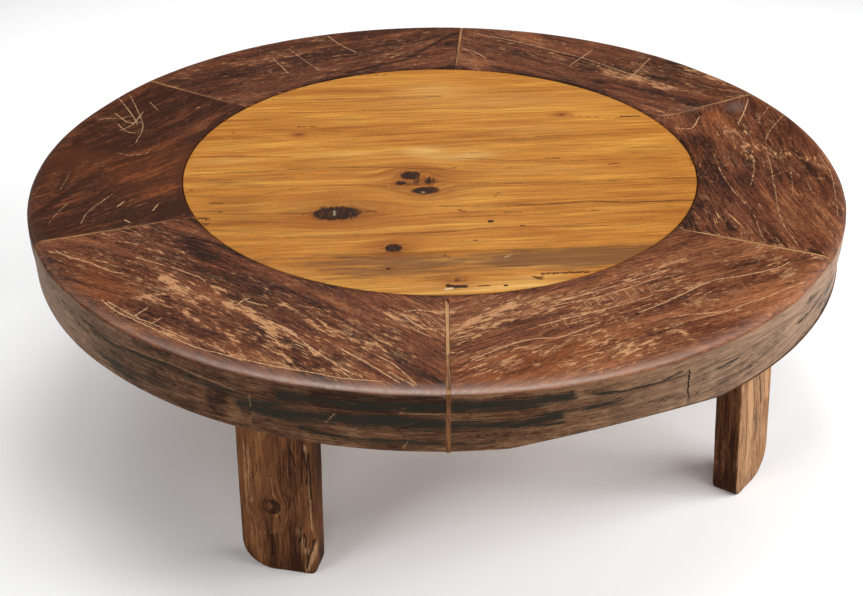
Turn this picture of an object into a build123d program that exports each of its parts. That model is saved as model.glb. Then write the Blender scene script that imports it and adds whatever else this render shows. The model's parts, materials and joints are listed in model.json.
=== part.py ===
from build123d import *
from math import asin, atan2, cos, degrees, radians, sin, sqrt, tan
import os

# Low round table in millimetres, +Z up. The origin is on the floor, under the middle of the rim.
# The rim is two layers of felloes with staggered joints. The upper layer frames a boarded panel,
# the lower layer reaches further in as the ledge that carries it. Four plank legs stand in
# mortises in the lower layer, each held by a wedge inside its tenon.

# Overall
table_height = 356
rim_radius = 575

# Upper felloes
upper_thickness = 31
edge_round_run = 16
edge_round_drop = 10
opening_radius = 367
opening_shift_x = 5
opening_shift_y = -2
opening_ease = 2
# Each joint is an azimuth at the opening and one at the rim, because the joints aren't radial.
upper_joints = [(-88, -88.7), (-32.4, -29.1), (24.6, 26.6), (85, 85.3), (145.6, 146.3), (207.1, 204.4)]

# Light strips let into the joints of the upper felloes
slip_width = 5
slip_stop = 14
slip_tail_depth = 30

# Lower felloes
lower_thickness = 53
lower_inset = 2
underside_round = 3
ledge_width = 24
# A shallow hollow hewn up into the underside at the rim, which runs out towards the ledge
hollow_azimuth = -68
hollow_rise = 11
hollow_width = 290
hollow_reach = 150
lower_joints = [(azimuth, azimuth) for azimuth in (-111.5, -59.6, -3, 54, 116, 177)]

# Panel boards, with their own axes: x along the boards, y across them from the opening's centre
panel_recess = 1.5
panel_gap = 1
board_direction = 4.5
board_gap = 0.4
# Each seam is how far out it crosses, as a share of the panel's radius, and its turn from the boards.
board_seams = [(-0.7, -1.1), (-0.178, -0.5), (0.202, 1.5), (0.68, 2.5)]

# Battens under the boards
batten_offset = 120
batten_width = 60
batten_thickness = 25
batten_end_gap = 3
batten_bevel = 12

# Legs. Insets are from the rim to the leg's middle. Facing is where the wide face looks.
leg_thickness = 39
leg_edge_radius = 4
legs = {
    "leg_front_left": dict(width=101, azimuth=-114.3, inset=104, facing=-101.5, splay=3.7, rounds=(45, 12)),
    "leg_front_right": dict(width=92, azimuth=-32.7, inset=90, facing=-38.5, splay=4.4, rounds=(14, 45)),
    "leg_rear_right": dict(width=96, azimuth=64.5, inset=97, facing=70, splay=4, rounds=(36, 16)),
    "leg_rear_left": dict(width=98, azimuth=149.9, inset=97, facing=146, splay=4, rounds=(16, 38)),
}

# Wedged tenons on the legs
tenon_width = 76
tenon_thickness = 24
tenon_height = 42
mortise_side_gap = 0.2
mortise_end_gap = 1
wedge_depth = 30
wedge_top = 6
wedge_toe = 1.5

# Countersunk wood screws, all driven from below
screw_head_radius = 4.8
screw_shank_radius = 2.4
screw_point_radius = 0.6
screw_point_length = 7
wood_over_screw = 8
rim_screw_inset = 22

# Levels and radii that follow
layer_line = table_height - upper_thickness
underside = layer_line - lower_thickness
panel_top = table_height - panel_recess
board_thickness = panel_top - layer_line
ledge_radius = opening_radius - ledge_width
panel_radius = opening_radius - panel_gap
opening_centre = Pos(opening_shift_x, opening_shift_y)
panel_axes = opening_centre * Rot(0, 0, board_direction)


def on_circle(radius, azimuth):
    return Vector(radius * cos(radians(azimuth)), radius * sin(radians(azimuth)))


def slab(outline, bottom, top):
    return extrude(Pos(0, 0, bottom) * outline, top - bottom)


def joint_ends(joint):
    # The joint's points at the opening and at the rim.
    return on_circle(opening_radius, joint[0]), on_circle(rim_radius, joint[1])


def sector(first_joint, last_joint, bottom, top):
    # A wedge of the rim between two joints, reaching past it on the inside and the outside.
    first_in, first_out = joint_ends(first_joint)
    last_in, last_out = joint_ends(last_joint)
    middle = (first_joint[1] + last_joint[1]) / 2
    reach = 0.4
    corners = [
        first_in + (first_in - first_out) * reach,
        first_out + (first_out - first_in) * reach,
        on_circle(2 * rim_radius, middle),
        last_out + (last_out - last_in) * reach,
        last_in + (last_in - last_out) * reach,
    ]
    return slab(make_face(Polyline(*corners, close=True)), bottom, top)


def sectors(joints, bottom, top):
    following = joints[1:] + [tuple(azimuth + 360 for azimuth in joints[0])]
    return [sector(first, last, bottom, top) for first, last in zip(joints, following)]


def upper_rim():
    side_top = table_height - edge_round_drop
    flat_end = rim_radius - edge_round_run
    section = make_face(
        [
            Polyline(
                (flat_end, table_height),
                (0, table_height),
                (0, layer_line),
                (rim_radius, layer_line),
                (rim_radius, side_top),
            ),
            EllipticalCenterArc((flat_end, side_top), edge_round_run, edge_round_drop, start_angle=0, arc_size=90),
        ]
    )
    disc = revolve(Plane.XZ * section, Axis.Z)
    ring = disc - opening_centre * slab(Circle(opening_radius), layer_line, table_height)
    top_edges = ring.edges().filter_by(GeomType.CIRCLE).filter_by_position(Axis.Z, table_height, table_height)
    return chamfer(top_edges.sort_by(SortBy.LENGTH)[0], opening_ease)


def lower_rim():
    disc = slab(Circle(rim_radius - lower_inset), underside, layer_line)
    disc = fillet(disc.edges().sort_by(Axis.Z)[0], underside_round)
    return disc - opening_centre * slab(Circle(ledge_radius), underside, layer_line) - hewn_hollow()


def hewn_hollow():
    # The top of a wide cylinder that lies along the radius and rises towards the rim.
    radius = ((hollow_width / 2) ** 2 + hollow_rise**2) / (2 * hollow_rise)
    slope = degrees(atan2(hollow_rise, hollow_reach))
    start = on_circle(rim_radius - hollow_reach, hollow_azimuth)
    axes = Pos(start.X, start.Y, underside) * Rot(0, 0, hollow_azimuth) * Rot(0, -slope, 0)
    return axes * Pos(0, 0, -radius) * Cylinder(radius, 4 * hollow_reach, rotation=(0, 90, 0))


def slip_slot(joint):
    # The space of one slip, from its stopped end near the opening to past the rim.
    inner, outer = joint_ends(joint)
    along = (outer - inner).normalized()
    turn = degrees(atan2(along.Y, along.X))
    start = inner + along * slip_stop
    length = (outer - start).length + edge_round_run
    block = Box(length, slip_width, upper_thickness, align=(Align.MIN, Align.CENTER, Align.MIN))
    return Pos(start.X, start.Y, layer_line) * Rot(0, 0, turn) * block


def slip_tail_slot(joint):
    # The front slip also runs down the rim's outer face to the underside.
    outer = on_circle(rim_radius, joint[1])
    block = Box(slip_tail_depth, slip_width, lower_thickness, align=(Align.MAX, Align.CENTER, Align.MIN))
    return Pos(outer.X, outer.Y, underside) * Rot(0, 0, joint[1]) * block


def seam_height(seam, x):
    share, turn = seam
    return share * panel_radius + x * tan(radians(turn))


def board_edges(x):
    # Where the boards' edges lie at x, from the front of the panel to its back.
    half_chord = sqrt(panel_radius**2 - x**2)
    return [-half_chord] + [seam_height(seam, x) for seam in board_seams] + [half_chord]


def panel_boards():
    disc = slab(Circle(panel_radius), layer_line, panel_top)
    end = 1.2 * panel_radius
    lows = [(-end, -end)] + [(seam_height(seam, -end), seam_height(seam, end)) for seam in board_seams]
    highs = lows[1:] + [(end, end)]
    boards = []
    for low, high in zip(lows, highs):
        gap = board_gap / 2
        corners = [(-end, low[0] + gap), (end, low[1] + gap), (end, high[1] - gap), (-end, high[0] - gap)]
        strip = make_face(Polyline(*corners, close=True))
        boards.append(panel_axes * (disc & slab(strip, layer_line, panel_top)))
    return boards


def batten_half_length():
    outer_side = batten_offset + batten_width / 2
    return sqrt(ledge_radius**2 - outer_side**2) - batten_end_gap


def panel_battens():
    half = batten_half_length()
    bottom = layer_line - batten_thickness
    profile = Polyline(
        (-half, layer_line),
        (-half, bottom + batten_bevel),
        (-half + batten_bevel, bottom),
        (half - batten_bevel, bottom),
        (half, bottom + batten_bevel),
        (half, layer_line),
        close=True,
    )
    block = extrude(Plane.YZ * make_face(profile), batten_width / 2, both=True)
    return [panel_axes * Pos(side * batten_offset, 0) * block for side in (-1, 1)]


def wood_screw(length):
    # Stands head down, with its head flush at z = 0.
    section = make_face(
        Polyline(
            (0, 0),
            (screw_head_radius, 0),
            (screw_shank_radius, screw_head_radius - screw_shank_radius),
            (screw_shank_radius, length - screw_point_length),
            (screw_point_radius, length),
            (0, length),
            close=True,
        )
    )
    return revolve(Plane.XZ * section, Axis.Z)


def rim_screws():
    # One screw wherever an upper and a lower felloe lie over each other between two joints.
    azimuths = sorted(joint[0] for joint in upper_joints + lower_joints)
    following = azimuths[1:] + [azimuths[0] + 360]
    screw = wood_screw(underside_to_upper())
    radius = opening_radius + rim_screw_inset
    middles = [(first + last) / 2 for first, last in zip(azimuths, following)]
    return [place(screw, opening_centre, on_circle(radius, middle), underside) for middle in middles]


def underside_to_upper():
    return lower_thickness + upper_thickness - wood_over_screw


def place(screw, axes, point, bottom):
    return axes * Pos(point.X, point.Y, bottom) * screw


def ledge_screws():
    # One screw through the ledge into each end of each board.
    screw = wood_screw(lower_thickness + board_thickness - wood_over_screw)
    radius = (ledge_radius + panel_radius) / 2
    edges = board_edges(0)
    screws = []
    for low, high in zip(edges, edges[1:]):
        lift = degrees(asin((low + high) / 2 / radius))
        for azimuth in (lift, 180 - lift):
            screws.append(place(screw, panel_axes, on_circle(radius, azimuth), underside))
    return screws


def batten_screws():
    # One screw through each batten into each board that it crosses.
    screw = wood_screw(batten_thickness + board_thickness - wood_over_screw)
    half = batten_half_length() - batten_bevel
    screws = []
    for x in (-batten_offset, batten_offset):
        edges = [max(-half, min(half, edge)) for edge in board_edges(x)]
        for low, high in zip(edges, edges[1:]):
            point = Vector(x, (low + high) / 2)
            screws.append(place(screw, panel_axes, point, layer_line - batten_thickness))
    return screws


def leg_axes(leg):
    # Origin in the middle of the leg's shoulder, x outwards through the wide face, z up the leg.
    foot = on_circle(rim_radius - leg["inset"], leg["azimuth"])
    return Pos(foot.X, foot.Y, underside) * Rot(0, 0, leg["facing"]) * Rot(0, -leg["splay"], 0)


def wedge_shape():
    outline = Polyline(
        (-wedge_top / 2, tenon_height),
        (-wedge_toe / 2, tenon_height - wedge_depth),
        (wedge_toe / 2, tenon_height - wedge_depth),
        (wedge_top / 2, tenon_height),
        close=True,
    )
    return extrude(Plane.YZ * make_face(outline), tenon_thickness / 2, both=True)


def leg_plank(leg):
    # The plank runs past the floor and the underside, which then trim it at the leg's slant.
    slant = leg_thickness * sin(radians(leg["splay"]))
    top = leg_edge_radius + slant
    bottom = -underside - slant
    outline = Pos(0, (top + bottom) / 2) * Rectangle(leg["width"], top - bottom)
    low_corners = outline.vertices().sort_by(Axis.Y)[:2].sort_by(Axis.X)
    for corner, radius in zip(low_corners, leg["rounds"]):
        outline = fillet(outline.vertices().sort_by_distance(corner)[0], radius)
    plank = extrude(Plane.YZ * outline, leg_thickness / 2, both=True)
    wide_faces = plank.faces().filter_by(Axis.X)
    return fillet(wide_faces.edges(), leg_edge_radius)


def leg_body(leg):
    axes = leg_axes(leg)
    room = 4 * rim_radius
    below_rim = Box(room, room, underside, align=(Align.CENTER, Align.CENTER, Align.MIN))
    plank = (axes * leg_plank(leg)) & below_rim
    root = underside / 4
    tenon = Pos(0, 0, -root) * Box(
        tenon_thickness, tenon_width, tenon_height + root, align=(Align.CENTER, Align.CENTER, Align.MIN)
    )
    return plank + axes * (tenon - wedge_shape())


def leg_mortise(leg):
    depth = tenon_height + mortise_end_gap
    hole = Box(
        tenon_thickness + 2 * mortise_side_gap,
        tenon_width + 2 * mortise_side_gap,
        2 * depth,
    )
    return leg_axes(leg) * hole


def upper_felloes(screws):
    ring = upper_rim()
    cutters = [slip_slot(joint) for joint in upper_joints] + screws
    return [(ring & piece) - cutters for piece in sectors(upper_joints, layer_line, table_height)]


def lower_felloes(screws):
    ring = lower_rim()
    cutters = [leg_mortise(leg) for leg in legs.values()] + [slip_tail_slot(upper_joints[0])] + screws
    return [(ring & piece) - cutters for piece in sectors(lower_joints, underside, layer_line)]


def joint_slips():
    ring = upper_rim()
    slips = [ring & slip_slot(joint) for joint in upper_joints]
    slips[0] = slips[0] + (lower_rim() & slip_tail_slot(upper_joints[0]))
    return slips


def numbered(name, shapes):
    return {f"{name}_{number}": shape for number, shape in enumerate(shapes, 1)}


rim_fixings = rim_screws()
ledge_fixings = ledge_screws()
batten_fixings = batten_screws()
board_cutters = ledge_fixings + batten_fixings
parts = {
    **numbered("upper_felloe", upper_felloes(rim_fixings)),
    **numbered("lower_felloe", lower_felloes(rim_fixings + ledge_fixings)),
    **numbered("joint_slip", joint_slips()),
    **numbered("panel_board", [board - board_cutters for board in panel_boards()]),
    **numbered("panel_batten", [batten - batten_fixings for batten in panel_battens()]),
    **{name: leg_body(leg) for name, leg in legs.items()},
    **numbered("tenon_wedge", [leg_axes(leg) * wedge_shape() for leg in legs.values()]),
    "rim_screws": Compound(rim_fixings),
    "ledge_screws": Compound(ledge_fixings),
    "batten_screws": Compound(batten_fixings),
}

os.makedirs("parts", exist_ok=True)
for name, shape in parts.items():
    export_step(shape, f"parts/{name}.step")
    print(name, len(shape.solids()))
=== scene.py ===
import json
import math

import bmesh
import bpy
import numpy as np
from mathutils import Matrix, Vector, geometry

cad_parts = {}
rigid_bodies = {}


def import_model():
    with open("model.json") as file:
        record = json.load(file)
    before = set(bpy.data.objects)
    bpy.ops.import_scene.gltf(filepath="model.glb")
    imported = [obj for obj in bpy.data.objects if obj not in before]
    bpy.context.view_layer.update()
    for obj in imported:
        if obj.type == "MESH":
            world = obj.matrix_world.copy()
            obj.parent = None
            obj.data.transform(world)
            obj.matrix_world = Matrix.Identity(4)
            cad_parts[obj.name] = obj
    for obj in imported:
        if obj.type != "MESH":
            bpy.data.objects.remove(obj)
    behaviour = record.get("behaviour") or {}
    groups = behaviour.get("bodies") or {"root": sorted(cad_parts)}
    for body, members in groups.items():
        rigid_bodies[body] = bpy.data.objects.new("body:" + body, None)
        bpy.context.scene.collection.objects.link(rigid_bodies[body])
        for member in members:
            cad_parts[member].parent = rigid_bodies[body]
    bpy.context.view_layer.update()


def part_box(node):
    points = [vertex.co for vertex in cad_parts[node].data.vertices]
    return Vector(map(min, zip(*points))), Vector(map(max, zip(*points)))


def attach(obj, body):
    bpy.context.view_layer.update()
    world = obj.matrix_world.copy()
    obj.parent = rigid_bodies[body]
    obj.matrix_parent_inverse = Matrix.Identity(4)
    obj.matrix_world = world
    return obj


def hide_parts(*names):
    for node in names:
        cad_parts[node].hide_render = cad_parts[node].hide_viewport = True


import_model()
for spare in list(bpy.data.objects):  # whatever Blender started with
    if spare.type in ("CAMERA", "LIGHT") or spare.name == "Cube":
        bpy.data.objects.remove(spare)

# Metres and degrees throughout. Azimuth 0 is +X, and -90 is the front.
sharpEdge = 35  # edges between faces that meet at more than this stay crisp
rim = {
    "radius": 0.575,
    "opening": 0.367,
    "openingCentre": (0.005, -0.002),
    "ledge": 0.343,
    "lowerInset": 0.002,
    "top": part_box("upper_felloe_1")[1].z,
    "layerLine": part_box("upper_felloe_1")[0].z,
    "underside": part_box("lower_felloe_4")[0].z,
    "panelTop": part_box("panel_board_3")[1].z,
}


def onCircle(radius, azimuth, centre=(0.0, 0.0)):
    angle = np.radians(azimuth)
    return np.stack([centre[0] + radius * np.cos(angle), centre[1] + radius * np.sin(angle)], -1)


def compass(points):
    return np.degrees(np.arctan2(points[:, 1], points[:, 0]))


def stacked(*columns):
    return np.column_stack(columns)


def bell(value, spread):
    # 1 at nothing, and fading away on both sides.
    return np.exp(-((value / spread) ** 2))


def smoothStep(value, low, high):
    share = np.clip((value - low) / (high - low), 0, 1)
    return share * share * (3 - 2 * share)


# Noise for shapes and painted masks.

def latticeValue(x, y, z, seed):
    mixed = (x * 374761393 + y * 668265263 + z * 1440662683 + seed * 974711) & 0xFFFFFFFF
    mixed = ((mixed ^ (mixed >> 13)) * 1274126177) & 0xFFFFFFFF
    return ((mixed ^ (mixed >> 16)) & 0xFFFFFF) / 0x7FFFFF - 1


def smoothNoise(points, size, seed):
    scaled = points / np.asarray(size, float)
    cell = np.floor(scaled).astype(np.int64)
    share = scaled - cell
    share = share * share * (3 - 2 * share)
    total = np.zeros(len(points))
    for corner in range(8):
        step = [(corner >> axis) & 1 for axis in range(3)]
        weight = np.ones(len(points))
        for axis in range(3):
            weight = weight * (share[:, axis] if step[axis] else 1 - share[:, axis])
        total += weight * latticeValue(cell[:, 0] + step[0], cell[:, 1] + step[1], cell[:, 2] + step[2], seed)
    return total


def layeredNoise(points, size, seed):
    total, weight, size = 0, 1, np.asarray(size, float)
    for layer in range(3):
        total = total + weight * smoothNoise(points, size / 2**layer, seed + layer)
        weight /= 2
    return total / 1.5


def hollows(points, wave, seed):
    # How far an uneven surface lies inside its true form. A wave is its depth, and its size along each axis.
    return wave[0] * (1 - layeredNoise(points, wave[1], seed))


# Turning arrays into pieces.

def newObject(name, points, faces):
    mesh = bpy.data.meshes.new(name)
    mesh.from_pydata([tuple(point) for point in points], [], [tuple(int(i) for i in face) for face in faces])
    made = bpy.data.objects.new(name, mesh)
    bpy.context.scene.collection.objects.link(made)
    return made


def makePiece(name, points, faces, material, nodes):
    piece = newObject(name, points, faces)
    mesh = piece.data
    mesh.validate()
    mesh.update()
    mesh.shade_smooth()
    mesh.set_sharp_from_angle(angle=math.radians(sharpEdge))
    mesh.materials.append(material)
    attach(piece, "root")
    if nodes:
        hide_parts(*nodes)
    return piece


def writeFields(piece, fields):
    # fields(points, normals) gives a value or a vector for each vertex under each name.
    mesh = piece.data
    points = np.zeros(len(mesh.vertices) * 3)
    normals = np.zeros(len(mesh.vertices) * 3)
    mesh.vertices.foreach_get("co", points)
    mesh.vertex_normals.foreach_get("vector", normals)
    for name, values in fields(points.reshape(-1, 3), normals.reshape(-1, 3)).items():
        values = np.asarray(values, np.float32)
        kind, key = ("FLOAT", "value") if values.ndim == 1 else ("FLOAT_VECTOR", "vector")
        mesh.attributes.new(name, kind, "POINT").data.foreach_set(key, values.ravel())


def cutWith(piece, cutter, operation="DIFFERENCE"):
    change = piece.modifiers.new("cut", "BOOLEAN")
    change.operation = operation
    change.solver = "EXACT"
    change.object = cutter
    graph = bpy.context.evaluated_depsgraph_get()
    changed = bpy.data.meshes.new_from_object(piece.evaluated_get(graph))
    piece.modifiers.clear()
    old = piece.data
    piece.data = changed
    bpy.data.meshes.remove(old)
    bpy.data.objects.remove(cutter)


def gridNormals(grid):
    along = np.gradient(grid, axis=0)
    across = (np.roll(grid, -1, 1) - np.roll(grid, 1, 1)) / 2
    normals = np.cross(along, across)
    length = np.linalg.norm(normals, axis=2, keepdims=True)
    return normals / np.maximum(length, 1e-12)


def tubeFaces(rings, sides, first=0, flip=False, capped=True):
    # The faces between closed rings of points, with a cap on both ends.
    faces = []
    for low in range(first, first + (rings - 1) * sides, sides):
        for i in range(sides):
            j = (i + 1) % sides
            face = (low + i, low + sides + i, low + sides + j, low + j)
            faces.append((face[0], face[3], face[2], face[1]) if flip else face)
    if capped:
        last = first + (rings - 1) * sides
        bottom, top = range(first, first + sides), range(last, last + sides)
        faces += [tuple(reversed(bottom)), tuple(top)] if flip else [tuple(bottom), tuple(reversed(top))]
    return faces


def sweptPiece(name, grid, material, nodes):
    return makePiece(name, grid.reshape(-1, 3), tubeFaces(*grid.shape[:2]), material, nodes)


# The rim.

def reachCircle(start, direction, centre, radius):
    # Where lines from start, which run outwards, cross a circle.
    offset = start - np.asarray(centre)
    along = (offset * direction).sum(-1)
    return start + direction * (np.sqrt(along**2 - (offset**2).sum(-1) + radius**2) - along)[..., None]


def jointLines(azimuthsIn, azimuthsOut):
    inner = onCircle(rim["opening"], azimuthsIn)
    direction = onCircle(rim["radius"], azimuthsOut) - inner
    return inner, direction / np.linalg.norm(direction, axis=-1, keepdims=True)


def sweepRows(lineStarts, directions, innerAt, outerAt, rows, bottomAt, topHeight):
    # Each row is a share of the way out and metres beyond it, then the same for its height.
    rows = np.array(rows)
    inner = innerAt(lineStarts, directions)
    outer = outerAt(lineStarts, directions)
    plan = inner[:, None] + (outer - inner)[:, None] * rows[None, :, 0, None]
    plan = plan + directions[:, None] * rows[None, :, 1, None]
    bottom = bottomAt(plan)
    height = bottom + (topHeight - bottom) * rows[None, :, 2] + rows[None, :, 3]
    return np.concatenate([plan, height[..., None]], -1)


def stationShares(length, spacing):
    # Stations stand closer together beside the two joints.
    near = np.array([0, 0.0005, 0.0012, 0.0022, 0.0036])
    middle = np.linspace(0.0052, length - 0.0052, int(length / spacing))
    return np.concatenate([near, middle, length - near[::-1]]) / length


def setBack(points, inner, direction, side, width, stop):
    # Moves the end of a felloe back for the strip let into its joint, past the strip's stopped end.
    normal = side * np.array([-direction[1], direction[0]])
    offset = points[..., :2] - inner
    along = offset @ direction
    away = offset @ normal
    reach = 0.012
    room = width * smoothStep(along, stop - 0.0008, stop + 0.0004)
    shift = np.where(away < reach, room * (1 - np.clip(away, 0, reach) / reach), 0)
    points[..., :2] += shift[..., None] * normal


rimSurface = {
    # Waves are a depth, and a size round the rim, across it and up it.
    "waves": (0.00025, (0.12, 0.07, 0.05)),
    "hewing": (0.0005, (0.11, 0.5, 0.0085)),
    "fineHewing": (0.00025, (0.03, 0.5, 0.004)),
    "flats": [(157, 8, 0.0025), (37.5, 5, 0.0020)],  # azimuth, spread and depth, on the outline
    "outlineWave": (0.0003, 0.09),
}


def outlineDips(plan):
    # How far the hewn outline falls inside the true circle.
    azimuth = compass(plan)
    dip = sum(depth * bell(azimuth - middle, spread) for middle, spread, depth in rimSurface["flats"])
    depth, size = rimSurface["outlineWave"]
    return dip + depth * (1 + smoothNoise(stacked(plan, np.zeros(len(plan))), size, 31))


def rimWear(grid, layer):
    # Hand-worked surface: it only ever falls inside the true form.
    normals = gridNormals(grid)
    flat = grid.reshape(-1, 3)
    radius = np.linalg.norm(flat[:, :2], axis=1)
    azimuth = np.arctan2(flat[:, 1], flat[:, 0])
    round_ = np.stack([azimuth * rim["radius"], radius, flat[:, 2]], -1)
    outward = normals.reshape(-1, 3)
    if (outward[:, 2][flat[:, 2] > rim["top"] - 0.001]).mean() < 0:
        outward = -outward
    face = np.clip(outward[:, 2], 0, 1)
    side = np.clip(np.abs((outward[:, :2] * flat[:, :2]).sum(1) / radius), 0, 1)
    side = side * smoothStep(radius, 0.5, 0.56)
    waves = hollows(round_, rimSurface["waves"], 11)
    hewn = hollows(round_, rimSurface["hewing"], 17 + layer)
    hewn += hollows(round_, rimSurface["fineHewing"], 23 + layer)
    drop = waves * face + hewn * side
    flat = flat - outward * drop[:, None]
    edge = smoothStep(radius, rim["radius"] - 0.05, rim["radius"] - 0.002)
    dips = outlineDips(flat[:, :2]) * edge
    flat[:, :2] *= (1 - dips / radius)[:, None]
    return flat.reshape(grid.shape)


upperFelloes = {
    # Azimuths of each joint at the opening and at the rim. Felloe 1 starts at the first joint.
    "joints": [(-88, -88.7), (-32.4, -29.1), (24.6, 26.6), (85, 85.3), (145.6, 146.3), (207.1, 204.4)],
    "roundRun": 0.016,
    "roundDrop": 0.010,
    "ease": 0.002,
    "spacing": [0.0015, 0.0019, 0.0024, 0.0024, 0.0019, 0.0015],  # between mesh points, finest at the front
    "stripWidth": 0.005,
    "stripStop": 0.014,
    "stripGap": 0.00015,
    "stripSunk": 0.0003,
    "tailDepth": 0.0298,
    "stripWear": [0.9, 0.60, 0.45, 0.45, 0.42, 0.42],
    "pith": [0.045, -0.055, 0.03, -0.04, 0.05, -0.02],  # where each plank's rings centre, across it
}
lowerFelloes = {
    "joints": [-111.5, -59.6, -3, 54, 116, 177],
    "round": 0.003,
    "spacing": 0.0030,
    "hollowAzimuth": -68,
    "hollowRise": 0.011,
    "hollowWidth": 0.290,
    "hollowReach": 0.150,
}


def edgeRound(run, drop, steps):
    # From the side up over to the top, as metres beyond the rim and metres above the side's end.
    angles = np.linspace(0, math.pi / 2, steps)
    return [(run * (math.cos(a) - 1), drop * math.sin(a)) for a in angles]


def upperRows(spacing, tail=0.0):
    # Rows run out along the bottom, up the side, in over the top and down the inner wall.
    thick = rim["top"] - rim["layerLine"]
    run, drop, ease = upperFelloes["roundRun"], upperFelloes["roundDrop"], upperFelloes["ease"]
    width = rim["radius"] - rim["opening"]
    rows = [(0, 0.0005, 0, 0), (0.5, 0, 0, 0), (1, -0.004, 0, 0), (1, -0.0008, 0, 0), (1, 0, 0, 0.0007)]
    rows += [(1, 0, 0, z) for z in np.linspace(0.0025, thick - drop - 0.001, 9)]
    rows += [(1, out, 0, thick - drop + up) for out, up in edgeRound(run, drop, 11)]
    last = width - run - tail
    shares = np.linspace(1, 0, int(last / spacing) - 2)
    rows += [(s, 0.006 * (1 - s) - (run + spacing) * s, 1, 0) for s in shares]
    rows += [(0, 0.0045, 1, 0), (0, 0.0032, 1, 0), (0, ease, 1, -0.0001)]
    rows += [(0, ease * (1 - s), 1, -ease * s * (0.7 + 0.3 * s)) for s in (0.3, 0.6, 0.85, 1)]
    rows += [(0, 0, s, 0) for s in (0.87, 0.7, 0.4, 0.1)]
    return rows


def lowerRows(spacing):
    thick = rim["layerLine"] - rim["underside"]
    turn = lowerFelloes["round"]
    width = rim["radius"] - rim["lowerInset"] - rim["ledge"]
    rows = [(0, 0, 0, 0.0012), (0, 0.0012, 0, 0)]
    rows += [(0, at, 0, 0) for at in np.linspace(0.004, width - turn - 0.002, int(width / spacing))]
    angles = np.linspace(0, math.pi / 2, 7)
    rows += [(1, turn * (math.sin(a) - 1), 0, turn * (1 - math.cos(a))) for a in angles]
    steps = int((thick - turn) / 0.0022)
    rows += [(1, 0, s * (1 - turn / thick), turn * (1 - s)) for s in np.linspace(0, 1, steps)[1:-1]]
    rows += [(1, 0, 1, -0.0012), (1, -0.0012, 1, 0), (1, -0.004, 1, 0), (0.5, 0, 1, 0)]
    rows += [(0, 0.002, 1, 0), (0, 0, 1, -0.002), (0, 0, 0.6, 0), (0, 0, 0.3, 0)]
    return rows


def hewnHollow(plan):
    # How far the underside rises in the shallow hollow that runs out to the rim.
    half, rise = lowerFelloes["hollowWidth"] / 2, lowerFelloes["hollowRise"]
    radius = (half**2 + rise**2) / (2 * rise)
    outward = onCircle(1.0, lowerFelloes["hollowAzimuth"])
    start = outward * (rim["radius"] - lowerFelloes["hollowReach"])
    along = (plan - start) @ outward
    beside = (plan - start) @ np.array([-outward[1], outward[0]])
    slope = rise / lowerFelloes["hollowReach"]
    return np.maximum(0, along * slope + np.sqrt(np.maximum(radius**2 - beside**2, 0)) - radius)


def flatBottom(height):
    return lambda plan: np.full(plan.shape[:-1], height)


def innerWall(radius):
    return lambda starts, directions: reachCircle(starts, directions, rim["openingCentre"], radius)


def outerWall(radius):
    return lambda starts, directions: reachCircle(starts, directions, (0, 0), radius)


def knotWarp(along, across, knots):
    # Fibres part around each knot: (along, across, half length, half width, strength).
    dark = np.zeros_like(along)
    halo = np.zeros_like(along)
    for x, y, long, wide, strength in knots:
        far = ((along - x) / long) ** 2 + ((across - y) / wide) ** 2
        across = y + (across - y) * (1 - 0.85 * np.exp(-far / 3.2))
        dark = np.maximum(dark, strength * np.exp(-np.maximum(far - 0.12, 0) * 1.5))
        halo = np.maximum(halo, np.exp(-far / 4.5))
    return across, dark, halo


def ringField(along, across, depth, pith, seed):
    # Distance from a slightly crooked pith gives the growth rings of a sawn plank.
    line = np.stack([along, across, depth], -1)
    wander = 0.006 * smoothNoise(line, (0.30, 0.16, 0.2), seed)
    wander += 0.0022 * smoothNoise(line, (0.11, 0.05, 0.1), seed + 1)
    sideways = across - pith[0] - pith[2] * along
    down = depth - pith[1] - pith[3] * along
    return np.sqrt(sideways**2 + down**2) + wander


def felloeEnds(joints):
    # Both ends of each felloe, in turn. Azimuths keep growing past the last joint.
    joints = np.array(joints, float)
    return list(zip(joints, np.concatenate([joints[1:], joints[:1] + 360])))


def buildUpperFelloes(material):
    half = upperFelloes["stripWidth"] / 2
    pieces = []
    for number, (first, last) in enumerate(felloeEnds(upperFelloes["joints"]), 1):
        spacing = upperFelloes["spacing"][number - 1]
        rows = upperRows(spacing)
        length = math.radians(last[1] - first[1]) * rim["radius"]
        shares = stationShares(length, spacing)
        starts, directions = jointLines(
            first[0] + (last[0] - first[0]) * shares, first[1] + (last[1] - first[1]) * shares
        )
        grid = sweepRows(
            starts, directions, innerWall(rim["opening"]), outerWall(rim["radius"]),
            rows, flatBottom(rim["layerLine"]), rim["top"],
        )
        for end, side in ((0, 1), (-1, -1)):
            setBack(grid, starts[end], directions[end], side, half, upperFelloes["stripStop"])
        name, node = f"upperFelloe{number}", f"upper_felloe_{number}"
        pieces.append(sweptPiece(name, rimWear(grid, 0), material, [node]))
    return pieces


def buildLowerFelloes(material):
    rows = lowerRows(lowerFelloes["spacing"])
    pieces = []
    for number, (first, last) in enumerate(felloeEnds(lowerFelloes["joints"]), 1):
        length = math.radians(last - first) * rim["radius"]
        shares = stationShares(length, lowerFelloes["spacing"])
        azimuths = first + (last - first) * shares
        starts, directions = jointLines(azimuths, azimuths)
        grid = sweepRows(
            starts, directions, innerWall(rim["ledge"]), outerWall(rim["radius"] - rim["lowerInset"]),
            rows, lambda plan: rim["underside"] + hewnHollow(plan), rim["layerLine"],
        )
        name, node = f"lowerFelloe{number}", f"lower_felloe_{number}"
        pieces.append(sweptPiece(name, rimWear(grid, 1), material, [node]))
    return pieces


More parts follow.
